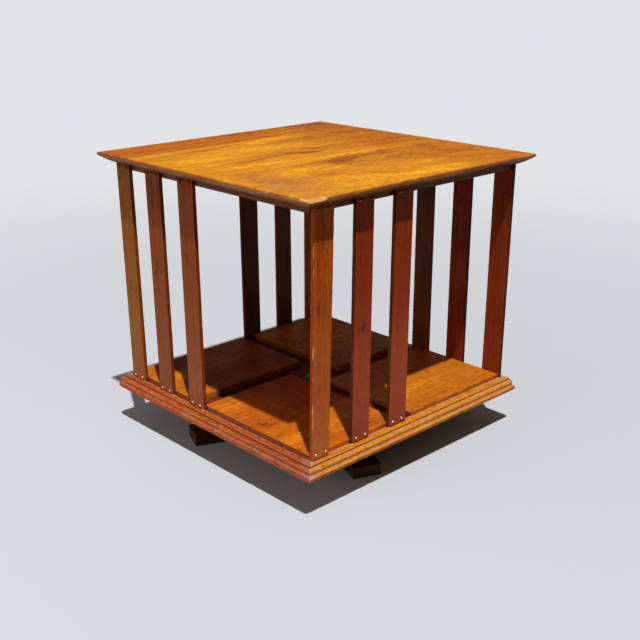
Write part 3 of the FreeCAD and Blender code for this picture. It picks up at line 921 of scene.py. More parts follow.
@dataclass
class Board:
    """A level board as a closed surface: sections across it, carried along its grain.

    With d the distance in from the nearest rounded edge, the face drops by r - sqrt(r^2 - (r - d)^2)
    for d < r, and a swelled underside rises as the arc of the swell's radius between the band's foot
    at d = 0 and the flat at d = reach.
    """

    name: str
    low: Vector
    high: Vector
    grain: int
    edges: tuple[Edge, ...]
    log: Log
    arris: float
    step: float
    band: float | None = None
    reach: float = 16.0 * MM
    swell: float = 50.0 * MM
    wave: float = 0.06 * MM
    eased: float = 0.12 * MM
    joint_drop: float = 0.12 * MM
    rim_wear: float = 1.0
    # rim_shade darkens the band and the underside, and under_shade the underside more towards its middle
    # and back, as painted shade; under_sheen whitens the underside's front as painted sheen.
    rim_shade: float = 0.0
    under_shade: float = 0.55
    under_sheen: float = 0.2
    licks: tuple[Lick, ...] = ()
    seed: int = 1

    def nearest(self, points: Array) -> Array:
        """Distance in from the nearest rounded edge."""
        return np.min([np.maximum(edge.inset(points), 0.0) for edge in self.edges], axis=0)

    def top_drop(self, inset: Array) -> Array:
        """How far the face lies under its level at a distance in from the edge."""
        left = np.clip(self.arris - inset, 0.0, self.arris)
        return self.arris - np.sqrt(self.arris ** 2 - left ** 2)

    def under_rise(self, inset: Array) -> Array:
        """How far the underside stands over its flat: an arc through both ends of the swell.

        Args:
            inset: distance in from the edge.

        Returns:
            The rise at each point, 0 on a board without a swell.
        """
        if self.band is None:
            return np.zeros_like(inset)
        height = self.high.z - self.low.z - self.band
        chord = math.hypot(self.reach, height)
        sag = math.sqrt(self.swell ** 2 - (chord / 2.0) ** 2)
        centre_in = self.reach / 2.0 + sag * height / chord
        centre_up = height / 2.0 + sag * self.reach / chord
        across = np.clip(inset, 0.0, self.reach) - centre_in
        return np.maximum(centre_up - np.sqrt(self.swell ** 2 - across ** 2), 0.0)

    def stations(self, axis: int) -> Array:
        """Places along an axis, close together beside its edges.

        Args:
            axis: 0 for x, 1 for y.

        Returns:
            The places in order.
        """
        beside = self.arris + np.array([0.4, 1.0, 2.0, 3.2]) * MM
        near = np.concatenate([quarter_arc(self.arris, 6), beside])
        if self.band is not None:
            swelled = np.arange(near[-1] + 1.5 * MM, self.reach, 1.5 * MM)
            near = np.concatenate([near, swelled, [self.reach]])
        return spread(self.low[axis], self.high[axis], near, self.step)

    def skin(self) -> Skin:
        """Works out the surface and its wear.

        Returns:
            The surface: the face, one edge, the underside and the other edge, carried along the grain.
        """
        other = 1 - self.grain
        run, wide = self.stations(self.grain), self.stations(other)
        levels = np.linspace(0.15, 0.85, 4)
        ends = (np.full(len(levels), wide[-1]), np.full(len(levels), wide[0]))
        ring_wide = np.concatenate([wide, ends[0], wide[::-1], ends[1]])
        place = np.zeros((len(run), len(ring_wide), 3))
        place[..., self.grain] = run[:, None]
        place[..., other] = ring_wide[None, :]
        inset = self.nearest(place)
        upper = self.high.z - self.top_drop(inset)
        lower = self.low.z + self.under_rise(inset)
        share = np.concatenate([np.zeros(len(wide)), levels, np.ones(len(wide)), levels[::-1]])
        place[..., 2] = upper + (lower - upper) * share
        on_top = share == 0.0
        self.settle(place, on_top, inset)
        raw, rubbed = self.chip(place)
        values = self.values(place, inset, share, raw, rubbed)
        return sweep(place, values)

    def settle(self, place: Array, on_top: Array, inset: Array) -> None:
        """Gives the face its slight waves and eases it down at glued joints.

        Args:
            place: the points, changed here.
            on_top: which points of a section lie on the face.
            inset: distance in from the rounded edges.
        """
        away = smooth(inset, 2.0 * MM, 14.0 * MM)
        wave = Wander(self.seed, 70.0 * MM).at(place) * self.wave * away
        place[..., 2] += np.where(on_top, np.minimum(wave, 0.0), 0.0)
        if self.band is None:
            return
        rounded = {(edge.axis, edge.outward) for edge in self.edges}
        for outward, limit in ((-1, self.low), (1, self.high)):
            if (1 - self.grain, outward) in rounded:
                continue
            inward = (limit[1 - self.grain] - place[..., 1 - self.grain]) * outward
            drop = self.joint_drop * (1.0 - smooth(inward, 0.0, 0.7 * MM))
            place[..., 2] -= np.where(on_top, drop, 0.0)

    def chip(self, place: Array) -> tuple[Array, Array]:
        """Cuts the chips and the small nibbles off the upper arrises.

        A point outside a tilted plane, whose depth under the arris varies along the edge, is moved
        back onto it.

        Args:
            place: the points, changed here.

        Returns:
            How far each point is bare wood, and how far it is rubbed, 0 to 1.
        """
        raw, rubbed = np.zeros(place.shape[:-1]), np.zeros(place.shape[:-1])
        for number, edge in enumerate(self.edges):
            runs = place[..., 1 - edge.axis]
            nibble = Wander(self.seed * 7 + number, 22.0 * MM).along(runs)
            cuts = [(edge.nibble * np.maximum(nibble, 0.0) + self.eased, 45.0, None)]
            cuts += [(chip.depths(runs, self.seed + number), chip.tilt, chip.bare)
                     for chip in edge.chips]
            for depth, tilt, bare in cuts:
                cos, sin = math.cos(math.radians(tilt)), math.sin(math.radians(tilt))
                out = depth - edge.inset(place) * cos - (self.high.z - place[..., 2]) * sin
                moved = np.maximum(out, 0.0)
                place[..., edge.axis] -= edge.outward * moved * cos
                place[..., 2] -= moved * sin
                if bare is None:
                    rubbed = np.maximum(rubbed, smooth(moved, 0.0, 0.2 * MM) * self.rim_wear)
                else:
                    raw = np.maximum(raw, smooth(moved, 0.02 * MM, 0.25 * MM) * bare)
        return raw, rubbed

    def values(self, place: Array, inset: Array, share: Array, raw: Array,
               rubbed: Array) -> dict[str, Array]:
        """What the finish reads on each point.

        Args:
            place: the points.
            inset: distance in from the rounded edges.
            share: 0 on the face to 1 on the underside, for each point of a section.
            raw: bare wood.
            rubbed: rubbed arrises.

        Returns:
            Values by name.
        """
        reach = self.arris + 1.2 * MM
        near = (1.0 - smooth(inset, 0.3 * self.arris, reach)) * (share < 0.3)
        under = np.broadcast_to(smooth(share, 0.5, 0.9), inset.shape)
        rim = 1.0 - smooth(inset, 0.3 * MM, 1.3 * MM)
        fore = 1.0 - smooth(place[..., 1], self.low.y + 0.6 * self.reach,
                            self.low.y + 1.2 * self.reach)
        inward = smooth(inset, 0.1 * self.reach, 0.6 * self.reach)
        return {
            "timber": self.log.coordinates(place),
            "wear": np.maximum(near * self.rim_wear, rubbed),
            # Painted shade under the board, deeper inwards and towards the back.
            "grime": under * self.under_shade * (0.5 + 0.7 * inward) * (1.3 - 0.3 * fore),
            "raw": raw,
            "heart_and_shade_tint": self.heart_and_shade_share(place),
            # The rim and, half as much, the underside darker by rim_shade: painted shade.
            "tone": self.tones(place) - self.rim_shade * np.maximum(rim, 0.5 * under),
            "dust": self.dusty(place) * (share < 0.3),
            # Painted sheen on the front of the underside.
            "sheen_and_dust": under * self.under_sheen * np.maximum(fore, 0.4 * (1.0 - inward)),
        }

    def heart_and_shade_share(self, place: Array) -> Array:
        """Share of the heart-and-shade tint; none on a plain board."""
        return np.zeros(place.shape[:-1])

    def tones(self, place: Array) -> Array:
        """How much lighter (+) or darker (-) than its timber the stain lies: the sum of the strokes.

        A stroke adds amount * exp(-(run / length)^2 - (wide / width)^2), its line slightly bent.

        Args:
            place: the points.

        Returns:
            The amount at each point.
        """
        total = np.zeros(place.shape[:-1])
        bent = Wander(17, 45.0 * MM).at(place) * 3.0 * MM
        for lick in self.licks:
            run = place[..., 1] - lick.y
            wide = place[..., 0] - lick.x - lick.skew * run + bent
            total += lick.amount * np.exp(-(run / lick.length) ** 2 - (wide / lick.width) ** 2)
        return total

    def dusty(self, place: Array) -> Array:
        """Share of dust; none on a plain board."""
        return np.zeros(place.shape[:-1])


@dataclass
class Plank(Board):
    """A plank of the top, with heartwood along the left side."""

    heart_side: float = -127.0 * MM
    heart_end: float = 45.0 * MM
    faded_end: float = 50.0 * MM
    joint_tone: float = 0.0
    joint_width: float = 12.0 * MM
    opening: tuple[float, float] = (30.0 * MM, 150.0 * MM)
    worn_patch: tuple[float, float] = (125.0 * MM, -152.0 * MM)
    patch_size: tuple[float, float] = (55.0 * MM, 34.0 * MM)

    def heart_and_shade_share(self, place: Array) -> Array:
        """Heartwood left of a ragged line; behind, it opens out over the width and fades.

        Args:
            place: the points.

        Returns:
            Its share at each point.
        """
        drift = Wander(41, 60.0 * MM).at(place * np.array([1.0, 0.35, 1.0])) * 5.0 * MM
        strip = 1.0 - smooth(place[..., 0] - self.heart_side + drift, -5.0 * MM, 5.0 * MM)
        strip = strip * (1.0 - 0.6 * smooth(place[..., 1], self.heart_end, self.heart_end + 30.0 * MM))
        behind = smooth(place[..., 1], *self.opening)
        return np.maximum(strip, 0.6 * behind)

    def tones(self, place: Array) -> Array:
        """Strokes, less a slow darkening of heartwood and of the back.

        The planks that meet right of the middle part in tone along their joint, the lighter one on the
        left: joint_tone * exp(-distance from the joint / joint_width).

        Args:
            place: the points.

        Returns:
            How much lighter (+) or darker (-) each point is.
        """
        behind = smooth(place[..., 1], self.faded_end - 20.0 * MM, self.faded_end + 80.0 * MM)
        left = smooth(place[..., 0], 60.0 * MM, 0.0)
        strip = 1.0 - smooth(place[..., 0], self.heart_side - 5.0 * MM, self.heart_side + 5.0 * MM)
        joint = self.high.x if self.joint_tone > 0.0 else self.low.x
        parted = self.joint_tone * np.exp(-np.abs(place[..., 0] - joint) / self.joint_width)
        aged = np.maximum(behind * (0.6 + 0.4 * left), 0.8 * strip)
        return super().tones(place) + parted - 0.2 * aged

    def dusty(self, place: Array) -> Array:
        """A worn, greyish patch towards the front corner."""
        run, wide = ((place[..., axis] - self.worn_patch[axis]) / self.patch_size[axis]
                     for axis in (1, 0))
        return 0.4 * np.exp(-run * run - wide * wide)


# ---------------------------------------------------------------- sub-assemblies


@dataclass
class Dresser:
    """Shared ways to hand a piece to the frame and a finish to a node."""

    shared: Shared
    nodes: dict[str, bpy.types.Object]

    def stand_for(self, piece: bpy.types.Object, node: str, slot: str, made: Material,
                  body: str = "case") -> None:
        """Lets a piece ride on a body in place of a node.

        Args:
            piece: the new piece.
            node: the node that it stands for.
            slot: not used.
            made: its material.
            body: the body it rides on.
        """
        piece.data.materials.append(made)
        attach(piece, body)
        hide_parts(node)
        LOG.info("%s: %d faces for node %s", piece.name, len(piece.data.polygons), node)

    def finish(self, node: str, made: Material) -> None:
        """Gives a node its finish.

        Args:
            node: the node's name.
            made: the material.
        """
        target = self.nodes[node]
        target.data.materials.clear()
        target.data.materials.append(made)
        LOG.info("%s: finished with %s", node, made.name)


@dataclass(frozen=True)
class PlankLook:
    """What sets a plank apart: its log, how worn its rim is, how much painted shade darkens its rim and
    underside, and how much lighter (+) or darker (-) it is along its joint."""

    log: Log
    rim_wear: float = 0.12
    rim_shade: float = 0.6
    joint_tone: float = 0.0


PLANKS = {
    "left": PlankLook(Log(ALONG_Y, ALONG_X, 11, -0.02, 0.03, 0.02)),
    "middle": PlankLook(Log(ALONG_Y, ALONG_X, 12, -0.11, 0.05, 0.05), joint_tone=0.1),
    "right": PlankLook(Log(ALONG_Y, ALONG_X, 13, 0.075, 0.035, 0.11), 0.6, 0.4, -0.12),
}


@dataclass
class Top:
    """The three planks of the top, with a thin upright band over a swelled underside."""

    dresser: Dresser
    band: float = 2.8 * MM
    arris: float = 0.8 * MM
    step: float = 2.2 * MM
    front_chips: tuple[Chip, ...] = (
        Chip(178 * MM, 192 * MM, 1.5 * MM, 50.0, 0.4), Chip(128 * MM, 131 * MM, 0.9 * MM))
    right_chips: tuple[Chip, ...] = (
        Chip(-192 * MM, -165 * MM, 2.3 * MM, 40.0, 0.2), Chip(-60 * MM, -56 * MM, 0.8 * MM),
        Chip(-34 * MM, -31 * MM, 0.7 * MM), Chip(20 * MM, 140 * MM, 0.4 * MM, 30.0, 0.5, 0.3),
        Chip(150 * MM, 192 * MM, 0.7 * MM, 35.0, 0.4, 0.5))
    licks: tuple[Lick, ...] = strokes(
        (-180, 180, 60, 50, -0.22), (-150, -120, 60, 8, -0.14), (-165, -30, 80, 10, -0.11),
        (-120, 42, 34, 12, 0.25), (-112, 0, 30, 10, 0.22), (-72, -15, 55, 30, 0.16),
        (-60, -118, 50, 24, 0.29), (-106, -98, 45, 12, -0.18), (-92, 44, 40, 13, -0.29),
        (-60, 120, 50, 30, 0.04), (-13, -95, 36, 5, -0.36), (-26, -45, 24, 11, -0.22),
        (-25, 20, 15, 6, -0.58, 0.3), (-10, -4, 15, 6, -0.58, 0.3), (-22, -25, 12, 6, -0.36),
        (-20, 52, 20, 14, -0.14), (31, 70, 120, 9, 0.26), (15, -90, 60, 16, 0.23),
        (-10, -142, 30, 22, 0.11), (20, 20, 40, 8, 0.14), (52, 15, 60, 12, -0.4),
        (62, -20, 26, 14, -0.32, 0.3), (80, 50, 50, 22, -0.14), (66, -88, 26, 20, 0.28),
        (82, -42, 12, 3, 0.36, -0.4), (110, -92, 34, 9, -0.25), (128, 50, 40, 12, 0.14),
        (168, 25, 60, 14, 0.28), (152, -70, 55, 20, 0.26, 0.12), (100, -150, 22, 50, -0.18),
        (110, 120, 40, 20, -0.07), (-120, -150, 30, 6, 0.11))

    def build(self) -> None:
        """Builds, places and dresses the three planks."""
        made = TOP_WOOD.material(self.dresser.shared)
        for number, (place, look) in enumerate(PLANKS.items()):
            node = f"top_plank_{place}"
            low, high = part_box(node)
            plank = Plank(f"{node}_worn", low, high, 1, self.edges(place, low, high), look.log,
                          arris=self.arris, step=self.step, band=self.band, rim_wear=look.rim_wear,
                          rim_shade=look.rim_shade, licks=self.licks, seed=21 + number,
                          joint_tone=look.joint_tone)
            self.dresser.stand_for(plank.skin().piece(plank.name), node, "top_wood", made)

    def edges(self, place: str, low: Vector, high: Vector) -> tuple[Edge, ...]:
        """The rounded edges of one plank, with its chips.

        Args:
            place: left, middle or right.
            low: the plank's lowest corner.
            high: its highest corner.

        Returns:
            Its free edges.
        """
        edges = [Edge(1, low.y, -1, self.front_chips if place == "right" else ()), Edge(1, high.y, 1)]
        if place == "left":
            edges.append(Edge(0, low.x, -1))
        if place == "right":
            edges.append(Edge(0, high.x, 1, self.right_chips))
        return tuple(edges)


@dataclass(frozen=True)
class Fading:
    """The painted shadow of the top on a shelf board: how much lighter (+) or darker (-) the board is
    where the top's shadow falls, how red that painted shade is, how much lighter it grows towards the
    front as painted light, and the share of the red that stays in the lit strips."""

    tone: float
    redness: float
    forward: float = 0.0
    lit_redness: float = 0.0


SHELF_SHADOWS = {
    Side.FRONT: Fading(-0.08, 1.0, 0.36, 0.4),
    Side.RIGHT: Fading(-0.05, 0.6),
    Side.BACK: Fading(-0.2, 0.1),
    Side.LEFT: Fading(-0.47, 0.3),
}


@dataclass
class ShelfBoard(Board):
    """A shelf board; its long groove edge holds a thin line of dust, and the edge that faces the front
    is darker as painted shade.
    """

    groove_axis: int = 0
    groove_way: int = -1
    front_shade: float = 0.7
    fading: Fading = Fading(0.0, 0.0)
    shadow_edge: tuple[float, float] = (90.0 * MM, -129.0 * MM)
    forward_run: tuple[float, float] = (-60.0 * MM, -120.0 * MM)

    def shadowed(self, place: Array) -> Array:
        """Share of the top's painted shadow: full away from the lit strips along the right and the
        front.
        """
        right = smooth(place[..., 0], self.shadow_edge[0] + 3.0 * MM, self.shadow_edge[0] - 5.0 * MM)
        return right * smooth(place[..., 1], self.shadow_edge[1] - 3.0 * MM, self.shadow_edge[1] + 5.0 * MM)

    def heart_and_shade_share(self, place: Array) -> Array:
        """The red of the painted shadow, and the share of it that stays in the lit strips."""
        return self.fading.redness * np.maximum(self.shadowed(place), self.fading.lit_redness)

    def tones(self, place: Array) -> Array:
        """Strokes, the top's painted shadow and the painted shade on the edge that faces the front.

        Args:
            place: the points.

        Returns:
            How much lighter (+) or darker (-) each point is.
        """
        # Painted shade on the edge that faces the front.
        front = 1.0 - smooth(place[..., 1], self.low.y + 0.05 * MM, self.low.y + 0.4 * MM)
        near = smooth(place[..., 1], *self.forward_run)
        # The top's painted shadow, lightened towards the front as painted light.
        stain = self.shadowed(place) * (self.fading.tone + self.fading.forward * near)
        return super().tones(place) + stain - self.front_shade * front

    def dusty(self, place: Array) -> Array:
        """Dust beside the groove: full on the first 2 mm, gone at 6 mm and broken along the edge.

        Args:
            place: the points.

        Returns:
            Its share at each point.
        """
        limit = (self.low, self.high)[self.groove_way > 0][self.groove_axis]
        inset = (limit - place[..., self.groove_axis]) * self.groove_way
        broken = 0.6 + 0.5 * Wander(self.seed + 5, 30.0 * MM).at(place)
        return np.clip((1.0 - smooth(inset, 2.0 * MM, 6.0 * MM)) * broken, 0.0, 1.0) * 0.8


@dataclass
class ShelfBoards:
    """Four boards laid as a pinwheel, their grain one way and their upper arrises well rounded."""

    dresser: Dresser
    arris: float = 1.1 * MM
    step: float = 2.6 * MM
    licks: tuple[Lick, ...] = strokes(
        (10, -150, 40, 16, 0.3), (60, -150, 60, 12, -0.12), (78, -150, 22, 7, -0.25),
        (128, -150, 50, 14, 0.3), (160, -60, 40, 8, -0.25), (120, 40, 90, 14, 0.2),
        (70, 90, 60, 14, -0.1), (-120, -90, 60, 18, 0.2), (-80, -20, 50, 10, -0.15),
        (-60, 110, 60, 20, 0.15))
    grooves: tuple[tuple[int, int], ...] = ((0, -1), (1, -1), (0, 1), (1, 1))

    def build(self) -> None:
        """Builds, places and dresses the four boards."""
        made = SHELF_WOOD.material(self.dresser.shared)
        for side in Side:
            node = f"shelf_board_{side.label}"
            low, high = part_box(node)
            edges = tuple(Edge(axis, (low, high)[way > 0][axis], way, nibble=0.05 * MM)
                          for axis in (0, 1) for way in (-1, 1))
            middle = (low.x + high.x) / 2.0
            log = Log(ALONG_Y, ALONG_X, 31 + side.value, middle + 0.03, 0.05, 0.035)
            groove_axis, groove_way = self.grooves[side.value]
            board = ShelfBoard(f"{node}_rounded", low, high, 1, edges, log, self.arris, self.step,
                               wave=0.1 * MM, rim_wear=0.45, licks=self.licks, seed=51 + side.value,
                               groove_axis=groove_axis, groove_way=groove_way, fading=SHELF_SHADOWS[side])
            self.dresser.stand_for(board.skin().piece(board.name), node, "shelf_wood", made)


def arc(start: tuple[float, float], end: tuple[float, float], radius: float, side: int,
        steps: int) -> list[tuple[float, float]]:
    """Points of an arc, its centre on the left (1) or right (-1) of the way from start to end.

    Args:
        start: its first point.
        end: its last point, which is left out.
        radius: its radius.
        side: where its centre lies.
        steps: how many points it has.

    Returns:
        The points.
    """
    (x0, y0), (x1, y1) = start, end
    chord = math.hypot(x1 - x0, y1 - y0)
    sag = math.sqrt(max(radius ** 2 - (chord / 2.0) ** 2, 0.0)) * side
    cx, cy = (x0 + x1) / 2.0 - (y1 - y0) / chord * sag, (y0 + y1) / 2.0 + (x1 - x0) / chord * sag
    first, last = math.atan2(y0 - cy, x0 - cx), math.atan2(y1 - cy, x1 - cx)
    turn = (last - first) % math.tau if side > 0 else -((first - last) % math.tau)
    angles = first + turn * np.arange(steps) / steps
    return [(cx + radius * math.cos(a), cy + radius * math.sin(a)) for a in angles]


# How far the mitred corner at the left end of each length is worn back.
CORNER_WEAR = {Side.FRONT: 1.5 * MM, Side.RIGHT: 0.5 * MM, Side.BACK: 0.9 * MM, Side.LEFT: 0.6 * MM}


@dataclass(frozen=True)
class MouldingLightAndWear:
    """How light falls on a length of moulding and how it has worn: its wood, the lit copy or the shaded
    one, where the pale line on its flat starts and how dusty it is, the painted shade inside that line,
    the wear of its arrises, and how much lighter (+), darker (-) or whiter its bead, the bead's crown,
    the lip's rim and foot and the hollows are, as painted light, shade and sheen."""

    wood: Wood
    line_start: float
    line_dust: float
    inner_shade: float
    arris_wear: float
    bead_tone: float
    crown_tone: float
    rim_tone: float
    foot_tone: float
    foot_sheen: float
    hollow_sheen: float


# SUNNY paints the light on the right and back lengths, SHADED paints the shade on the front and left
# lengths.
SUNNY = MouldingLightAndWear(
    MOULDING_WOOD, line_start=1.5 * MM, line_dust=0.35, inner_shade=0.4, arris_wear=0.5,
    bead_tone=0.3, crown_tone=0.0, rim_tone=0.04, foot_tone=-0.3, foot_sheen=0.0, hollow_sheen=0.3)
SHADED = MouldingLightAndWear(
    SHADED_MOULDING_WOOD, line_start=2.8 * MM, line_dust=0.5, inner_shade=0.9, arris_wear=0.38,
    bead_tone=0.22, crown_tone=-0.34, rim_tone=-0.24, foot_tone=0.12, foot_sheen=0.2,
    hollow_sheen=0.5)
MOULDING_LIGHT_AND_WEAR = {Side.FRONT: SHADED, Side.RIGHT: SUNNY, Side.BACK: SUNNY, Side.LEFT: SHADED}


@dataclass
class Zones:
    """Shares, 0 to 1, of the parts of a moulding's section that wear, gather dust and take painted light
    and shade differently, at its points.
    """

    flat: Array  # the level top
    line: Array  # the pale line along it
    inner: Array  # its strip between that line and the slats
    sheltered: Array  # its first few millimetres, beside the slats
    bead: Array  # the ovolo
    crown: Array  # the ovolo's top
    rim: Array  # the lip's rounded top
    foot: Array  # the lip's foot
    convex: Array  # arrises
    hollow: Array  # hollows, among them the cove
    quirk: Array  # the sharp groove beside the flat
    outer: Array  # all that lies outside the flat


@dataclass
class Mouldings:
    """The base moulding: flat, quirk, ovolo, cove and lip, mitred at the corners."""

    dresser: Dresser
    width: float = 17.5 * MM
    height: float = 15.9 * MM
    flat: float = 10.8 * MM
    flat_round: float = 0.8 * MM
    quirk_width: float = 0.8 * MM
    quirk_depth: float = 2.6 * MM
    ovolo_drop: float = 2.1 * MM
    ovolo_radius: float = 5.0 * MM
    cove_reach: float = 3.5 * MM
    cove_rise: float = 2.2 * MM
    cove_radius: float = 3.0 * MM
    lip_height: float = 4.8 * MM
    lip_round: float = 1.2 * MM
    corner_run: float = 4.5 * MM
    mitre_run: float = 13.0 * MM
    cove_start: float = 13.0 * MM
    step: float = 2.0 * MM

    def profile(self) -> Array:
        """The section, close together where it shows.

        Returns:
            Its (outward, up) points in order round it.
        """
        width, lip, top = self.width, self.lip_height, self.height
        lip_in = (width - self.lip_round, lip)
        cove_top = (width - self.cove_reach, lip + self.cove_rise)
        ovolo_top = (self.flat + self.quirk_width, top - self.ovolo_drop)
        flat_side = (self.flat, top - self.flat_round)
        flat_top = (self.flat - self.flat_round, top)
        corners = [(0.0, 0.0), (width * 0.5, 0.0), (width - 0.5 * MM, 0.0)]
        corners += arc((width - 0.5 * MM, 0.0), (width, 0.5 * MM), 0.5 * MM, 1, 4)[1:]
        corners += [(width, float(y)) for y in np.linspace(0.5 * MM, lip - self.lip_round, 9)[:-1]]
        corners += arc((width, lip - self.lip_round), lip_in, self.lip_round, 1, 7)
        corners += arc(lip_in, cove_top, self.cove_radius, -1, 12)
        corners += arc(cove_top, ovolo_top, self.ovolo_radius, 1, 18)
        corners += [ovolo_top, (self.flat + self.quirk_width * 0.75, top - self.quirk_depth * 0.92),
                    (self.flat + 0.1 * MM, top - self.quirk_depth)]
        corners += [(self.flat, top - self.quirk_depth * 0.8), (self.flat, top - 1.4 * MM)]
        corners += arc(flat_side, flat_top, self.flat_round, 1, 5)
        corners += [(float(x), top) for x in np.linspace(flat_top[0], 0.0, 15)]
        corners += [(0.0, top * 0.5)]
        return np.array(corners)

    def proud(self, profile: Array) -> Array:
        """How far each point stands outside the section's own smoothed line; hollows are negative.

        Each point is weighed against its neighbours by a bell curve 1 mm wide along the outline.

        Args:
            profile: the section.

        Returns:
            The distance at each point.
        """
        near = np.linalg.norm(profile[:, None] - profile[None], axis=-1)
        weight = np.exp(-(near / (1.0 * MM)) ** 2)
        mean = weight @ profile / weight.sum(1, keepdims=True)
        tangent = np.roll(profile, -1, 0) - np.roll(profile, 1, 0)
        normal = np.stack([tangent[:, 1], -tangent[:, 0]], -1)
        normal /= np.linalg.norm(normal, axis=1, keepdims=True) + 1e-12
        return ((profile - mean) * normal).sum(1)

    def build(self) -> None:
        """Builds, places and dresses the four lengths."""
        made = {age.wood.name: age.wood.material(self.dresser.shared) for age in (SUNNY, SHADED)}
        low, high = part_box("base_moulding_front")
        carcass = high.x - self.width
        profile = self.profile()
        near = np.array([0.0, 0.8, 1.8, 3.2, 5.0]) * MM
        ends = spread(-1.0, 1.0, near / carcass, self.step / carcass)
        for side, age in MOULDING_LIGHT_AND_WEAR.items():
            reach = carcass + profile[:, 0]
            shape = (len(ends), len(reach))
            points = np.stack([ends[:, None] * reach, -np.broadcast_to(reach, shape),
                               np.broadcast_to(low.z + profile[:, 1], shape)], -1)
            self.nibble(points, profile, side)
            self.soften(points, profile, carcass, side)
            placed = side.carry(points)
            log = Log(side.way(ALONG_X), side.way(ALONG_Y), 61 + side.value, 0.02, 0.04, 0.02)
            values = self.values(placed, points, profile, carcass, log, age)
            node = f"base_moulding_{side.label}"
            piece = sweep(placed, values).piece(f"{node}_run", 40.0)
            self.dresser.stand_for(piece, node, "moulding_wood", made[age.wood.name])

    def nibble(self, points: Array, profile: Array, side: Side) -> None:
        """Presses small dents into the lip and the ovolo, inwards and up to 0.35 mm.

        Args:
            points: the length's points on the front side, changed here.
            profile: the section.
            side: the side it stands for, which seeds the dents.
        """
        outer = smooth(profile[:, 0], self.flat + 2.0 * MM, self.width)
        dents = np.maximum(Wander(71 + side.value, 14.0 * MM).at(points) - 0.35, 0.0) * 0.5 * MM
        points[..., 1] += np.minimum(dents, 0.35 * MM) * outer

    def soften(self, points: Array, profile: Array, carcass: float, side: Side) -> None:
        """Wears the mitred corners back, alike on both lengths that meet there.

        Args:
            points: the length's points on the front side, changed here.
            profile: the section.
            carcass: half the side of the square that the moulding goes round.
            side: the side it stands for.
        """
        following = Side((side.value + 1) % len(CORNER_WEAR))
        outer = smooth(profile[:, 0], self.flat, self.width)
        from_mitre = np.maximum(carcass + profile[:, 0] - np.abs(points[..., 0]), 0.0)
        worn = np.where(points[..., 0] < 0.0, CORNER_WEAR[side], CORNER_WEAR[following])
        pulled = worn * outer * np.exp(-(from_mitre / self.corner_run) ** 2)
        points[..., 0] -= np.sign(points[..., 0]) * pulled
        points[..., 1] += pulled

    def zones(self, profile: Array, age: MouldingLightAndWear) -> Zones:
        """Divides the section into the parts that wear, gather dust and take painted light and shade
        differently.

        Args:
            profile: the section.
            age: where the pale line on its flat starts.

        Returns:
            The share of each part at each point of the section.
        """
        out, up, proud = profile[:, 0], profile[:, 1], self.proud(profile)
        shown = (up > 0.05 * MM) & (out > 0.05 * MM)
        flat = up > self.height - 0.2 * MM
        start = age.line_start
        # The line comes in over 0.8 mm, and goes out from 1.0 to 2.6 mm past its start.
        line = smooth(out, start - 0.4 * MM, start + 0.4 * MM)
        line = line * smooth(out, start + 2.6 * MM, start + 1.0 * MM)
        lip, crest = self.lip_height, self.height - self.ovolo_drop
        on_bead = (out > self.flat + 0.5 * MM) & (up > lip + self.cove_rise)
        on_lip = out > self.width - self.lip_round - 0.1 * MM
        return Zones(
            flat=flat,
            line=line * flat,
            inner=smooth(out, start + 0.4 * MM, start - 0.8 * MM) * flat,
            sheltered=smooth(out, 7.0 * MM, 0.5 * MM) * flat,
            bead=on_bead,
            crown=on_bead * smooth(up, crest - 2.6 * MM, crest - 0.8 * MM),
            rim=on_lip * smooth(up, lip - 1.3 * MM, lip - 0.6 * MM),
            foot=on_lip * smooth(up, lip - 0.9 * MM, lip - 2.4 * MM),
            convex=smooth(proud, 0.1 * MM, 0.19 * MM) * shown,
            hollow=smooth(-proud, 0.03 * MM, 0.09 * MM) * shown,
            quirk=smooth(-proud, 0.09 * MM, 0.3 * MM),
            outer=smooth(out, self.flat, self.flat + 3.0 * MM),
        )

    def values(self, placed: Array, points: Array, profile: Array, carcass: float, log: Log,
               age: MouldingLightAndWear) -> dict[str, Array]:
        """What the finish reads on each point.

        Towards a mitre the wood grows darker and whiter by exp(-(distance / mitre_run)^2), and the
        joint itself is worn pale on the bead and the lip and grimy inside them.

        Args:
            placed: the points in the frame.
            points: the same on the front side.
            profile: the section.
            carcass: half the side of the square that the moulding goes round.
            log: the timber.
            age: the painted light, shade and sheen and the wear of the length.

        Returns:
            Values by name.
        """
        zone, shape = self.zones(profile, age), placed.shape[:-1]
        mitre = (carcass + profile[:, 0]) - np.abs(points[..., 0])
        joint = 1.0 - smooth(mitre, 0.3 * MM, 1.6 * MM)
        near = np.exp(-(mitre / self.mitre_run) ** 2)
        ragged = np.clip(0.75 + 0.5 * Wander(91, 6.0 * MM).at(placed), 0.0, 1.0)
        worn_joint = joint * zone.outer * ragged
        slow, quick = Wander(92, 25.0 * MM).at(placed), Wander(93, 9.0 * MM).at(placed)
        # Painted light and shade across the section: the flat darker beside the slats, the bead lighter,
        # the hollows darker, and the crown and the lip's rim and foot shaded by the amounts for the
        # side.
        tone = zone.flat * (-0.03 - 0.25 * zone.sheltered)
        tone = tone + age.bead_tone * zone.bead * (1.0 - zone.crown)
        tone = tone + age.crown_tone * zone.crown - 0.16 * zone.hollow
        tone = tone + (age.foot_tone * zone.foot + age.rim_tone * zone.rim)
        tone = tone - (0.2 * zone.flat + 0.1 * zone.outer) * near
        # Whiter: the dust line on the flat, and painted sheen on the crown, the lip's rim and foot and
        # the cove.
        sheen_and_dust = 0.7 * zone.line + 0.3 * zone.crown + 0.12 * zone.rim + age.foot_sheen * zone.foot
        sheen_and_dust = sheen_and_dust + age.hollow_sheen * zone.hollow * (profile[:, 0] > self.cove_start)
        cornered = 0.5 * worn_joint + (0.55 * zone.flat + 0.32 * zone.outer) * near
        dust = zone.line * age.line_dust + joint * (0.3 * zone.flat + 0.5 * zone.outer)
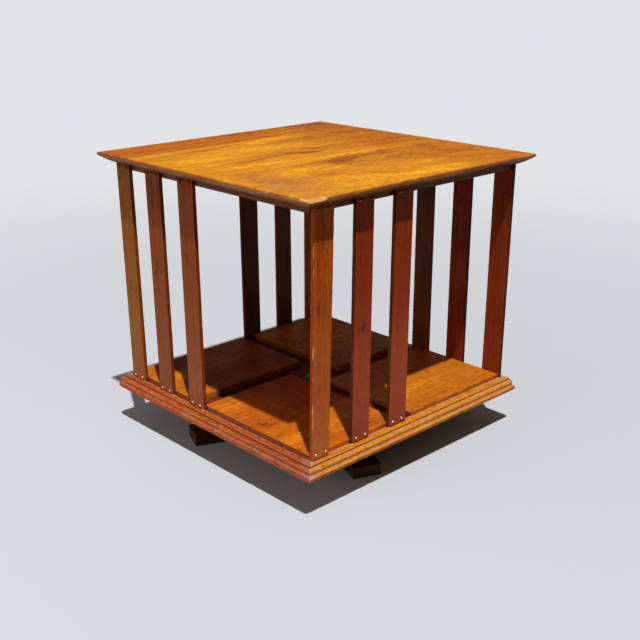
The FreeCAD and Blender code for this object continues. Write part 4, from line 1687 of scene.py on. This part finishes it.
        # Darker in the hollows, the quirk and the flat's inner strip: painted shade, heavier on the
        # shaded lengths.
        crease_shade = zone.hollow * 0.3 + zone.quirk * 0.4 + zone.inner * age.inner_shade * 0.7
        return {
            "timber": log.coordinates(placed),
            "wear": np.broadcast_to(zone.convex * age.arris_wear, shape) + worn_joint,
            "grime": np.maximum(np.broadcast_to(crease_shade, shape), joint * (1.0 - zone.outer) * 0.5),
            "raw": worn_joint * 0.3,
            "tone": tone + 0.08 * quick,
            "dust": np.clip(dust * (0.8 + 0.4 * slow), 0.0, 1.0),
            "sheen_and_dust": np.clip((sheen_and_dust + cornered) * (0.85 + 0.35 * slow + 0.3 * quick), 0.0, 0.8),
        }


SLAT_FOOT = 64.4 * MM
SLAT_LENGTH = 282.2 * MM


@dataclass(frozen=True)
class Slat:
    """One slat: its stain, how far the left arris stands off its place at head and foot, how much wider
    the slat is there, how deep its long arrises are worn, the heights where its outer left arris is
    bare, its knots, how much lighter (+) or darker (-) it is, how much painted light brightens it a
    third of the way up, and how far the stain is rubbed pale beside the left arris."""

    stain: Stain
    head: float = 0.0
    foot: float = 0.0
    head_wider: float = 1.4 * MM
    foot_wider: float = 1.4 * MM
    left_wear: float = 0.15 * MM
    wear: float = 0.12 * MM
    bare: tuple[tuple[float, float], ...] = ()
    knots: tuple[Lick, ...] = ()
    tone: float = 0.0
    lift: float = 0.0
    rubbed: float = 0.0

    @staticmethod
    def rise(up: Array | float) -> Array | float:
        """Share of the way from the foot of a slat to its head."""
        return (up - SLAT_FOOT) / SLAT_LENGTH

    def shift(self, up: Array | float) -> Array | float:
        """How far its left arris stands off its place at a height: a line from foot to head."""
        return self.foot + (self.head - self.foot) * self.rise(up)

    def wider(self, up: Array | float) -> Array | float:
        """How much wider it is at a height."""
        return self.foot_wider + (self.head_wider - self.foot_wider) * self.rise(up)


SLATS = {
    Side.FRONT: (
        Slat(Stain.OLIVE, -4.4 * MM, 2.6 * MM, 0.6 * MM, 0.8 * MM,
             knots=strokes((13, 188, 3, 2, -0.5))),
        Slat(Stain.PLUM, -5.0 * MM, 1.8 * MM, 1.8 * MM, 0.6 * MM,
             knots=strokes((12, 232, 3, 1.8, -0.8), (11, 222, 2.2, 1.4, -0.6))),
        Slat(Stain.PLUM, -2.4 * MM, 2.4 * MM, 2.3 * MM, 1.8 * MM, tone=0.05)),
    Side.RIGHT: (
        Slat(Stain.ORANGE, 1.6 * MM, -1.2 * MM, 2.4 * MM, -1.8 * MM, 0.36 * MM, 0.25 * MM,
             ((276 * MM, 308 * MM), (84 * MM, 200 * MM)),
             strokes((8, 236, 9, 2.5, -0.35), (19, 275, 24, 6, 0.2)), rubbed=0.2),
        Slat(Stain.RED, 0.9 * MM, -1.6 * MM, 0.9 * MM, 0.7 * MM, 0.25 * MM, tone=0.07, lift=0.36,
             knots=strokes((14, 199, 4, 2.2, -1.0), (16.5, 206, 4, 1.6, -0.5))),
        Slat(Stain.RED, 0.9 * MM, -2.0 * MM, 2.2 * MM, 2.2 * MM, 0.25 * MM, tone=0.06, lift=0.36)),
    Side.BACK: (
        Slat(Stain.DEEP, -4.0 * MM, -1.8 * MM, 1.5 * MM, 1.2 * MM),
        Slat(Stain.DEEP, -2.4 * MM, -2.1 * MM, 1.5 * MM, 1.8 * MM, tone=-0.16),
        Slat(Stain.SHADE, -2.2 * MM, -2.2 * MM, 1.7 * MM, 1.7 * MM, tone=-0.05)),
    Side.LEFT: (
        Slat(Stain.OLIVE), Slat(Stain.SHADE, -2.6 * MM, -4.0 * MM, 0.5 * MM, 0.9 * MM, tone=-0.12),
        Slat(Stain.SHADE, -1.4 * MM, -3.2 * MM, 2.6 * MM, 1.6 * MM, tone=-0.15)),
}


# How high the foot nails of each side and all head nails stand, and how far a pair stands apart.
NAIL_HIGH = 343.1 * MM
NAIL_SPREAD = 15.0 * MM
NAIL_LEVELS = {Side.FRONT: 68.7 * MM, Side.RIGHT: 70.4 * MM, Side.BACK: 69.4 * MM, Side.LEFT: 69.0 * MM}


@dataclass
class Slats:
    """Twelve slats, three at the left end of each side, nailed at foot and head."""

    dresser: Dresser
    arris: float = 0.6 * MM
    nail_spread: float = NAIL_SPREAD
    nail_high: float = NAIL_HIGH
    step: float = 3.0 * MM
    fine: float = 0.6 * MM
    # head_shade darkens each slat towards its head and lightens it towards its foot as painted shade and
    # light; sheen_and_dust whitens the lower face as painted sheen.
    head_shade: float = 0.34
    sheen_and_dust: float = 0.16
    dimple: float = 0.12 * MM
    dimple_ring: tuple[float, float] = (1.4 * MM, 3.5 * MM)
    grime_ring: tuple[float, float] = (1.3 * MM, 2.5 * MM)
    wave: float = 0.08 * MM
    lift_middle: float = 0.3
    lift_spread: float = 0.26

    def build(self) -> None:
        """Builds, places and dresses the twelve slats."""
        made = {stain: wood.material(self.dresser.shared) for stain, wood in SLAT_WOODS.items()}
        for side, slats in SLATS.items():
            for index, slat in enumerate(slats):
                low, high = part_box(f"slat_front_{index + 1}")
                node = f"slat_{side.label}_{index + 1}"
                skin = self.skin(low, high, side, side.value * len(slats) + index, slat)
                self.dresser.stand_for(skin.piece(f"{node}_rubbed", 40.0), node, "slat_wood",
                                       made[slat.stain])

    def heights(self, low: float, high: float) -> Array:
        """Places up a slat, close together round the nails and at both ends."""
        near = np.arange(0.0, 8.0 * MM, self.fine)
        return spread(low, high, np.concatenate([near, [9.5 * MM]]), self.step)

    def section(self, width: float, depth: float) -> Array:
        """A rounded rectangle, (across, out), with the outer face finely divided.

        Args:
            width: the slat's width.
            depth: its thickness.

        Returns:
            The points, from the outer face's left end round.
        """
        r, out = self.arris, depth
        across = np.linspace(r, width - r, round(width / self.fine))
        inner = np.linspace(width - r, r, 14)
        side = np.linspace(r, depth - r, 6)[1:-1]
        points = [(float(x), out) for x in across]
        points += arc((width - r, out), (width, out - r), r, -1, 4)[1:]
        points += [(width, out - r)] + [(width, float(y)) for y in side[::-1]]
        points += arc((width, r), (width - r, 0.0), r, -1, 4)
        points += [(float(x), 0.0) for x in inner]
        points += arc((r, 0.0), (0.0, r), r, -1, 4)[1:]
        points += [(0.0, r)] + [(0.0, float(y)) for y in side]
        points += arc((0.0, out - r), (r, out), r, -1, 4)
        return np.array(points)

    def skin(self, low: Vector, high: Vector, side: Side, seed: int, slat: Slat) -> Skin:
        """Works out one slat and its wear.

        Args:
            low: its lowest corner on the front side.
            high: its highest corner on the front side.
            side: the side it stands on.
            seed: its number.
            slat: its stain, lean and wear.

        Returns:
            The surface.
        """
        width, depth = high.x - low.x, high.y - low.y
        section, heights = self.section(width, depth), self.heights(low.z, high.z)
        shape = (len(heights), len(section))
        up = np.broadcast_to(heights[:, None], shape)
        across = section[:, 0] * (1.0 + slat.wider(up) / width)
        out = np.broadcast_to(section[:, 1], shape).copy()
        width = width + slat.wider(up)
        raw, rubbed = self.rub(across, out, up, width, depth, seed, slat)
        face = smooth(out, depth - 0.4 * MM, depth - 0.1 * MM)
        ring, pressed = self.nails(across, up, width, NAIL_LEVELS[side])
        hollow = np.maximum(Wander(seed + 90, 55.0 * MM).along(up), 0.0)
        out -= face * (pressed * self.dimple + hollow * self.wave)
        points = side.carry(np.stack([low.x + across + slat.shift(up), high.y - out, up], -1))
        log = Log(UP, side.way(ALONG_X), 101 + seed, -0.03 + 0.013 * (seed % 4), 0.05, 0.015)
        # Darker at the foot and head, where the slat meets the moulding and the rail: painted shade.
        foot = 1.0 - smooth(up, low.z, low.z + 3.5 * MM)
        head = smooth(up, high.z - 8.0 * MM, high.z)
        corner = np.minimum(across, width - across)
        near = (1.0 - smooth(corner, 0.3 * MM, 1.6 * MM)) * np.maximum(face, 0.3)
        values = {
            "timber": log.coordinates(points),
            "wear": np.maximum(near * 0.35, rubbed),
            "grime": np.clip(ring + foot * 0.8 + head * 0.5, 0.0, 1.0),
            "raw": raw,
            "tone": self.tones(across, up, face, seed, slat),
            "heart_and_shade_tint": 1.0 - smooth(corner, 0.1 * MM, 0.6 * MM),
            # Painted sheen on the lower face, and the stain rubbed pale beside the left arris.
            "sheen_and_dust": face * (self.sheen_and_dust * smooth(slat.rise(up), 0.8, 0.05)
                             + slat.rubbed * smooth(across, 4.5 * MM, 1.0 * MM)),
        }
        return sweep(points, values)

    def tones(self, across: Array, up: Array, face: Array, seed: int, slat: Slat) -> Array:
        """How much lighter (+) or darker (-) than its timber each point is.

        Painted shade darkens the slat evenly towards its head and lightens it towards its foot, painted
        light brightens it by lift * exp(-((rise - middle) / spread)^2), and it darkens in the knots on
        the outer face.

        Args:
            across: distances across.
            up: heights.
            face: share of the outer face.
            seed: its number.
            slat: its tone, painted light and knots.

        Returns:
            The amount at each point.
        """
        rise = slat.rise(up)
        tone = slat.tone + 0.1 * Wander(seed + 70, 90.0 * MM).along(up) + self.head_shade * (0.45 - rise)
        tone = tone + slat.lift * np.exp(-((rise - self.lift_middle) / self.lift_spread) ** 2)
        for knot in slat.knots:
            apart = ((across - knot.x) / knot.width) ** 2 + ((up - knot.y) / knot.length) ** 2
            tone = tone + knot.amount * face * np.exp(-apart)
        return tone

    def nails(self, across: Array, up: Array, width: Array, foot: float) -> tuple[Array, Array]:
        """Grime and pressed-in wood round the nails, both falling off with the distance from them.

        Args:
            across: distances across.
            up: heights.
            width: the slat's width at each point.
            foot: the height of its foot nails.

        Returns:
            The grime and the depth of the dimple, 0 to 1.
        """
        ring, dimple = np.zeros(across.shape), np.zeros(across.shape)
        for level in (foot, self.nail_high):
            for way in (-1, 1):
                apart = np.hypot(across - width / 2.0 - way * self.nail_spread / 2.0, up - level)
                ring = np.maximum(ring, 1.0 - smooth(apart, *self.grime_ring))
                dimple = np.maximum(dimple, 1.0 - smooth(apart, *self.dimple_ring))
        return ring, dimple

    def rub(self, across: Array, out: Array, up: Array, width: Array, depth: float, seed: int,
            slat: Slat) -> tuple[Array, Array]:
        """Cuts the four long arrises back by a depth that varies up the slat.

        Args:
            across: distances across, changed here.
            out: distances out, changed here.
            up: heights.
            width: the slat's width at each point.
            depth: its thickness.
            seed: its number.
            slat: how deep it is worn, and where it is bare.

        Returns:
            How far each point is bare wood, and how far it is rubbed, 0 to 1.
        """
        raw, rubbed = np.zeros(across.shape), np.zeros(across.shape)
        lean = math.sqrt(0.5)
        rounded = self.arris * (1.0 - lean) * 2.0 * lean
        bare = np.zeros(up.shape)
        for low, high in slat.bare:
            bare = np.maximum(bare, smooth(up, low - 4.0 * MM, low + 4.0 * MM)
                              * smooth(up, high + 4.0 * MM, high - 4.0 * MM))
        arrises = ((False, True), (True, True), (False, False), (True, False))
        for number, (right, outer) in enumerate(arrises):
            deep = slat.wear if number else slat.left_wear * (0.35 + 0.65 * bare)
            wave = Wander(seed * 5 + number, 26.0 * MM).along(up)
            cut = rounded + deep * np.clip(wave + 0.45, 0.0, 1.2)
            in_side = width - across if right else across
            in_face = depth - out if outer else out
            moved = np.maximum(cut - (in_side + in_face) * lean, 0.0)
            across += (-moved if right else moved) * lean
            out += (-moved if outer else moved) * lean
            rubbed = np.maximum(rubbed, smooth(moved, 0.0, 0.3 * MM) * (1.0 if outer else 0.4))
            if number == 0:
                broken = smooth(Wander(seed + 33, 8.0 * MM).along(up), -0.7, 0.4)
                raw = smooth(moved, 0.12 * MM, 0.32 * MM) * bare * broken * 0.7
        return raw, rubbed


@dataclass
class Nails:
    """Brass nails, two at each end of each slat, in one set for each side and level."""

    dresser: Dresser
    spread: float = NAIL_SPREAD
    high: float = NAIL_HIGH
    head: float = 1.7 * MM
    dome: float = 1.15 * MM
    shank: float = 0.6 * MM
    length: float = 4.8 * MM
    sides: int = 20
    tilt: float = 5.0

    def profile(self) -> Array:
        """Point, shank, the head's flat underside, its rim and its dome.

        The dome's radius is (head^2 + dome^2) / (2 dome), with head the head's own radius.

        Returns:
            Its (radius, height) points from the point to the crown.
        """
        radius = (self.head ** 2 + self.dome ** 2) / (2.0 * self.dome)
        angles = np.linspace(math.asin(self.head / radius), 0.04, 9)
        dome = np.stack([radius * np.sin(angles), self.dome - radius + radius * np.cos(angles)], -1)
        stem = np.array([(0.02 * MM, -self.length), (self.shank, -self.length + 1.2 * MM),
                         (self.shank, -self.length / 2.0), (self.shank, 0.0), (self.head * 0.9, 0.0)])
        return np.concatenate([stem, dome])

    def build(self) -> None:
        """Builds, places and dresses the eight sets."""
        profile = self.profile()
        bright, dull, dark = (brass.material(self.dresser.shared)
                              for brass in (NAIL_BRASS, SHADED_HEAD_BRASS, DEEP_SHADED_HEAD_BRASS))
        for kind in ("foot", "head"):
            for side in Side:
                level = NAIL_LEVELS[side] if kind == "foot" else self.high
                # Painted shade on the head nails, deeper on the front and left.
                aged = dark if side in (Side.FRONT, Side.LEFT) else dull
                draw = np.random.default_rng(200 + side.value + (10 if kind == "head" else 0))
                skins = []
                for index, slat in enumerate(SLATS[side]):
                    low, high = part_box(f"slat_front_{index + 1}")
                    for way in (-1, 1):
                        middle = (low.x + high.x + slat.wider(level)) / 2.0 + slat.shift(level)
                        x = middle + way * self.spread / 2.0
                        skins.append(self.nail(profile, (x, low.y, level), side, draw))
                node = f"{kind}_nails_{side.label}"
                piece = Skin.joined(skins).piece(f"{node}_domed", 50.0)
                self.dresser.stand_for(piece, node, "nail_brass", bright if kind == "foot" else aged)

    def nail(self, profile: Array, place: Triple, side: Side, draw: np.random.Generator) -> Skin:
        """One nail with a slightly dented, tilted head.

        Args:
            profile: its outline.
            place: where its head sits, on the front side.
            side: its side.
            draw: the set's random numbers.

        Returns:
            The surface.
        """
        rings, angle = lathe(profile, self.sides)
        crown = smooth(rings[..., 2], 0.0, self.dome)
        flat = draw.uniform(0.0, 0.25) * crown * np.cos(angle - draw.uniform(0.0, math.tau))
        rings[..., 2] -= np.maximum(flat, 0.0) * 0.3 * MM
        radius = np.hypot(rings[..., 0], rings[..., 1])
        rim = smooth(radius, self.head * 0.85, self.head) * (rings[..., 2] > -0.1 * MM)
        lean = math.radians(draw.uniform(-self.tilt, self.tilt))
        x = rings[..., 0] * math.cos(lean) + rings[..., 2] * math.sin(lean)
        y = rings[..., 2] * math.cos(lean) - rings[..., 0] * math.sin(lean)
        front = np.stack([place[0] + x, place[1] - y, place[2] + rings[..., 1]], -1)
        return sweep(side.carry(front), {"grime": rim * 0.8})


@dataclass(frozen=True)
class Dab:
    """A dab of old filler at the foot of a slat: along its side, out from the carcass, and its size."""

    side: Side
    along: float
    out: float
    length: float
    width: float
    height: float


@dataclass
class FillerDabs:
    """Dabs of filler left where the slats meet the moulding."""

    dresser: Dresser
    dabs: tuple[Dab, ...] = (
        Dab(Side.FRONT, -140.4 * MM, 5.4 * MM, 3.4 * MM, 1.5 * MM, 0.8 * MM),
        Dab(Side.FRONT, -77.5 * MM, 5.0 * MM, 6.5 * MM, 1.6 * MM, 0.8 * MM),
        Dab(Side.FRONT, -16.6 * MM, 5.2 * MM, 4.4 * MM, 1.6 * MM, 0.9 * MM),
        Dab(Side.RIGHT, -109.0 * MM, 5.2 * MM, 3.2 * MM, 1.7 * MM, 1.1 * MM),
        Dab(Side.RIGHT, -47.2 * MM, 5.2 * MM, 2.6 * MM, 1.7 * MM, 1.1 * MM),
        Dab(Side.RIGHT, -171.6 * MM, 6.0 * MM, 4.5 * MM, 1.1 * MM, 0.5 * MM),
        Dab(Side.BACK, -79.0 * MM, 5.2 * MM, 3.0 * MM, 1.5 * MM, 0.7 * MM),
        Dab(Side.LEFT, -140.6 * MM, 5.2 * MM, 3.0 * MM, 1.5 * MM, 0.7 * MM),
    )
    rows: int = 7
    sides: int = 16

    def build(self) -> None:
        """Builds, places and dresses the dabs of all sides as one piece."""
        carcass = -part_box("slat_front_1")[1].y
        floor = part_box("base_moulding_front")[1].z
        skins = [self.mound(dab, carcass, floor, number) for number, dab in enumerate(self.dabs)]
        piece = Skin.joined(skins).piece("filler_dabs", 60.0)
        piece.data.materials.append(GLUE.material())
        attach(piece, "case")
        LOG.info("%s: %d faces", piece.name, len(piece.data.polygons))

    def mound(self, dab: Dab, carcass: float, floor: float, seed: int) -> Skin:
        """A lumpy mound: radius sin(t), height cos(t), both varied round it.

        Args:
            dab: its place and size.
            carcass: distance of the carcass from the pivot.
            floor: the level it lies on.
            seed: its number.

        Returns:
            The surface.
        """
        rise = np.linspace(0.06, 1.0, self.rows) * math.pi / 2.0
        rings, _ = lathe(np.stack([np.sin(rise), np.cos(rise)], -1), self.sides)
        lumps = 1.0 + 0.25 * Wander(300 + seed, 1.0).at(rings)
        size = np.array([dab.length / 2.0, dab.width / 2.0, dab.height]) * lumps[..., None]
        local = rings * size
        local[..., 2] = np.maximum(local[..., 2], 0.0) - 0.02 * MM
        local[..., 0] += dab.along
        local[..., 1] += -carcass - dab.out
        local[..., 2] += floor
        return sweep(dab.side.carry(local), {"grime": np.zeros(rings.shape[:-1])})


@dataclass
class Hidden:
    """The rails, the base board, the stand and the bearing, which keep their nodes."""

    dresser: Dresser
    foot_turn: float = -22.4

    def build(self) -> None:
        """Gives every kept node its finish."""
        shared, give = self.dresser.shared, self.dresser.finish
        rails = [RAIL_WOOD.material(shared, turn) for turn in (0.0, 90.0)]
        for side in Side:
            give(f"top_rail_{side.label}", rails[side.value % 2])
        give("base_board", BASE_WOOD.material(shared, 0.0))
        give("foot_bar_lower", FOOT_WOOD.material(shared, self.foot_turn))
        give("foot_bar_upper", FOOT_WOOD.material(shared, self.foot_turn + 90.0))
        give("hub_block", replace(FOOT_WOOD, name="hub_wood").material(shared, 0.0))
        steel, bronze = PIVOT_STEEL.material(shared), BEARING_BRASS.material(shared)
        for node in ("pivot_bolt", "pivot_nut", "retaining_washer", "lower_pivot_plate",
                     "upper_pivot_plate", "hub_screws", "lower_plate_screws", "upper_plate_screws",
                     "shelf_board_screws", "top_screws"):
            give(node, steel)
        for node in ("thrust_washer", "pivot_bush"):
            give(node, bronze)


# ---------------------------------------------------------------- studio


@dataclass(frozen=True)
class Lamp:
    """A square soft lamp: its name, place, side, watts and colour."""

    name: str
    place: Triple
    size: float
    power: float
    tint: Triple


@dataclass
class Studio:
    """Pale floor, soft lights and the camera."""

    lamps: tuple[Lamp, ...] = (
        Lamp("key", (6.83, -4.16, 20.0), 0.4, 5300.0, (1.0, 0.975, 0.94)),
        Lamp("fill", (-0.5, -2.0, 0.45), 1.4, 16.0, (1.0, 0.955, 0.89)),
    )
    aim: Triple = (0.0, 0.0, 0.18)
    camera_place: Triple = (0.8782, -0.8319, 0.5693)
    azimuth: float = 46.2933
    elevation: float = 19.4366
    lens: float = 55.73
    sensor: float = 36.0
    floor_side: float = 80.0
    pale: Colour = (226, 227, 230)
    dim: Colour = (236, 214, 194)
    ground: Colour = (191, 197, 205)
    bounce: Colour = (128, 125, 122)
    pool: tuple[float, float] = (0.45, 1.9)
    fill_level: float = 0.17
    gloss_level: float = 0.07

    def build(self) -> None:
        """Sets the floor, the world, the lamps and the camera."""
        self.floor()
        self.sky()
        for lamp in self.lamps:
            self.hang(lamp)
        self.camera()
        view = bpy.context.scene.view_settings
        view.view_transform = "Standard"

    def floor(self) -> None:
        """A wide level floor: it keeps the shadow near the object and turns evenly pale farther off.

        Only the camera and reflections see the ground's pale colour; what it throws up is dimmer.
        """
        half = self.floor_side / 2.0
        square = [(-half, -half, 0.0), (half, -half, 0.0), (half, half, 0.0), (-half, half, 0.0)]
        mesh = bpy.data.meshes.new("studio_floor")
        mesh.from_pydata(square, [], [(0, 1, 2, 3)])
        ground = add_object("studio_floor", mesh)
        made, w, shader = new_material("studio_floor")
        rays = w.put("ShaderNodeLightPath")
        seen = w.math("MAXIMUM", rays.outputs["Is Camera Ray"], rays.outputs["Is Transmission Ray"])
        seen = w.math("MAXIMUM", seen, rays.outputs["Is Glossy Ray"])
        w.fill(shader.inputs["Base Color"], w.blend(seen, linear(self.bounce), linear(self.ground)))
        shader.inputs["Roughness"].default_value = 0.9
        shader.inputs["Specular IOR Level"].default_value = 0.1
        place = w.put("ShaderNodeTexCoord").outputs["Object"]
        far = w.put("ShaderNodeVectorMath", {"operation": "LENGTH"})
        w.fill(far.inputs[0], place)
        share = w.times(w.ease(far.outputs["Value"], *self.pool), seen)
        even = w.put("ShaderNodeEmission", Color=linear(self.pale), Strength=1.0)
        both = w.put("ShaderNodeMixShader", Fac=share)
        w.fill(both.inputs[1], shader.outputs[0])
        w.fill(both.inputs[2], even.outputs[0])
        w.fill(made.node_tree.nodes["Material Output"].inputs["Surface"], both.outputs[0])
        mesh.materials.append(made)

    def sky(self) -> None:
        """A dim even world that looks pale to the camera and, in part, in reflections."""
        world = bpy.data.worlds.new("studio_sky")
        bpy.context.scene.world = world
        world.use_nodes = True
        world.node_tree.nodes.clear()
        w = Wiring(world.node_tree)
        rays = w.put("ShaderNodeLightPath")
        seen = w.math("MAXIMUM", rays.outputs["Is Camera Ray"], rays.outputs["Is Transmission Ray"])
        glossy = w.times(rays.outputs["Is Glossy Ray"], self.gloss_level)
        seen = w.math("MAXIMUM", seen, glossy)
        level = w.math("MULTIPLY_ADD", seen, 1.0 - self.fill_level, self.fill_level)
        tone = w.blend(seen, linear(self.dim), linear(self.pale))
        back = w.put("ShaderNodeBackground", Color=tone, Strength=level)
        out = w.put("ShaderNodeOutputWorld")
        w.fill(out.inputs["Surface"], back.outputs[0])

    def hang(self, lamp: Lamp) -> None:
        """Hangs a lamp so that it faces the middle of the object.

        Args:
            lamp: its place, size and light.
        """
        data = bpy.data.lights.new(lamp.name, "AREA")
        data.shape, data.size, data.energy, data.color = "SQUARE", lamp.size, lamp.power, lamp.tint
        hung = add_object(lamp.name, data)
        hung.location = lamp.place
        way = Vector(self.aim) - Vector(lamp.place)
        hung.rotation_mode = "QUATERNION"
        hung.rotation_quaternion = way.to_track_quat("-Z", "Y")

    def camera(self) -> None:
        """The camera, looking along (-sin az cos el, cos az cos el, -sin el)."""
        azimuth, elevation = math.radians(self.azimuth), math.radians(self.elevation)
        level = math.cos(elevation)
        look = Vector((-math.sin(azimuth) * level, math.cos(azimuth) * level, -math.sin(elevation)))
        data = bpy.data.cameras.new("view")
        data.lens, data.sensor_width, data.sensor_fit = self.lens, self.sensor, "HORIZONTAL"
        camera = add_object("view", data)
        camera.location = self.camera_place
        camera.rotation_mode = "QUATERNION"
        camera.rotation_quaternion = look.to_track_quat("-Z", "Y")
        bpy.context.scene.camera = camera


def corners(box: tuple[Vector, Vector]) -> list[list[float]]:
    """A box as plain lists."""
    return [list(corner) for corner in box]


def main() -> None:
    """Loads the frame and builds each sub-assembly in order."""
    logging.basicConfig(level=logging.INFO, format="%(message)s")
    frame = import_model()
    dresser = Dresser(Shared(), frame["nodes"])
    for part in (Top(dresser), ShelfBoards(dresser), Mouldings(dresser), Slats(dresser), Nails(dresser),
                 FillerDabs(dresser), Hidden(dresser)):
        part.build()
        LOG.info("built %s", type(part).__name__)
    Studio().build()


if __name__ == "__main__":
    main()
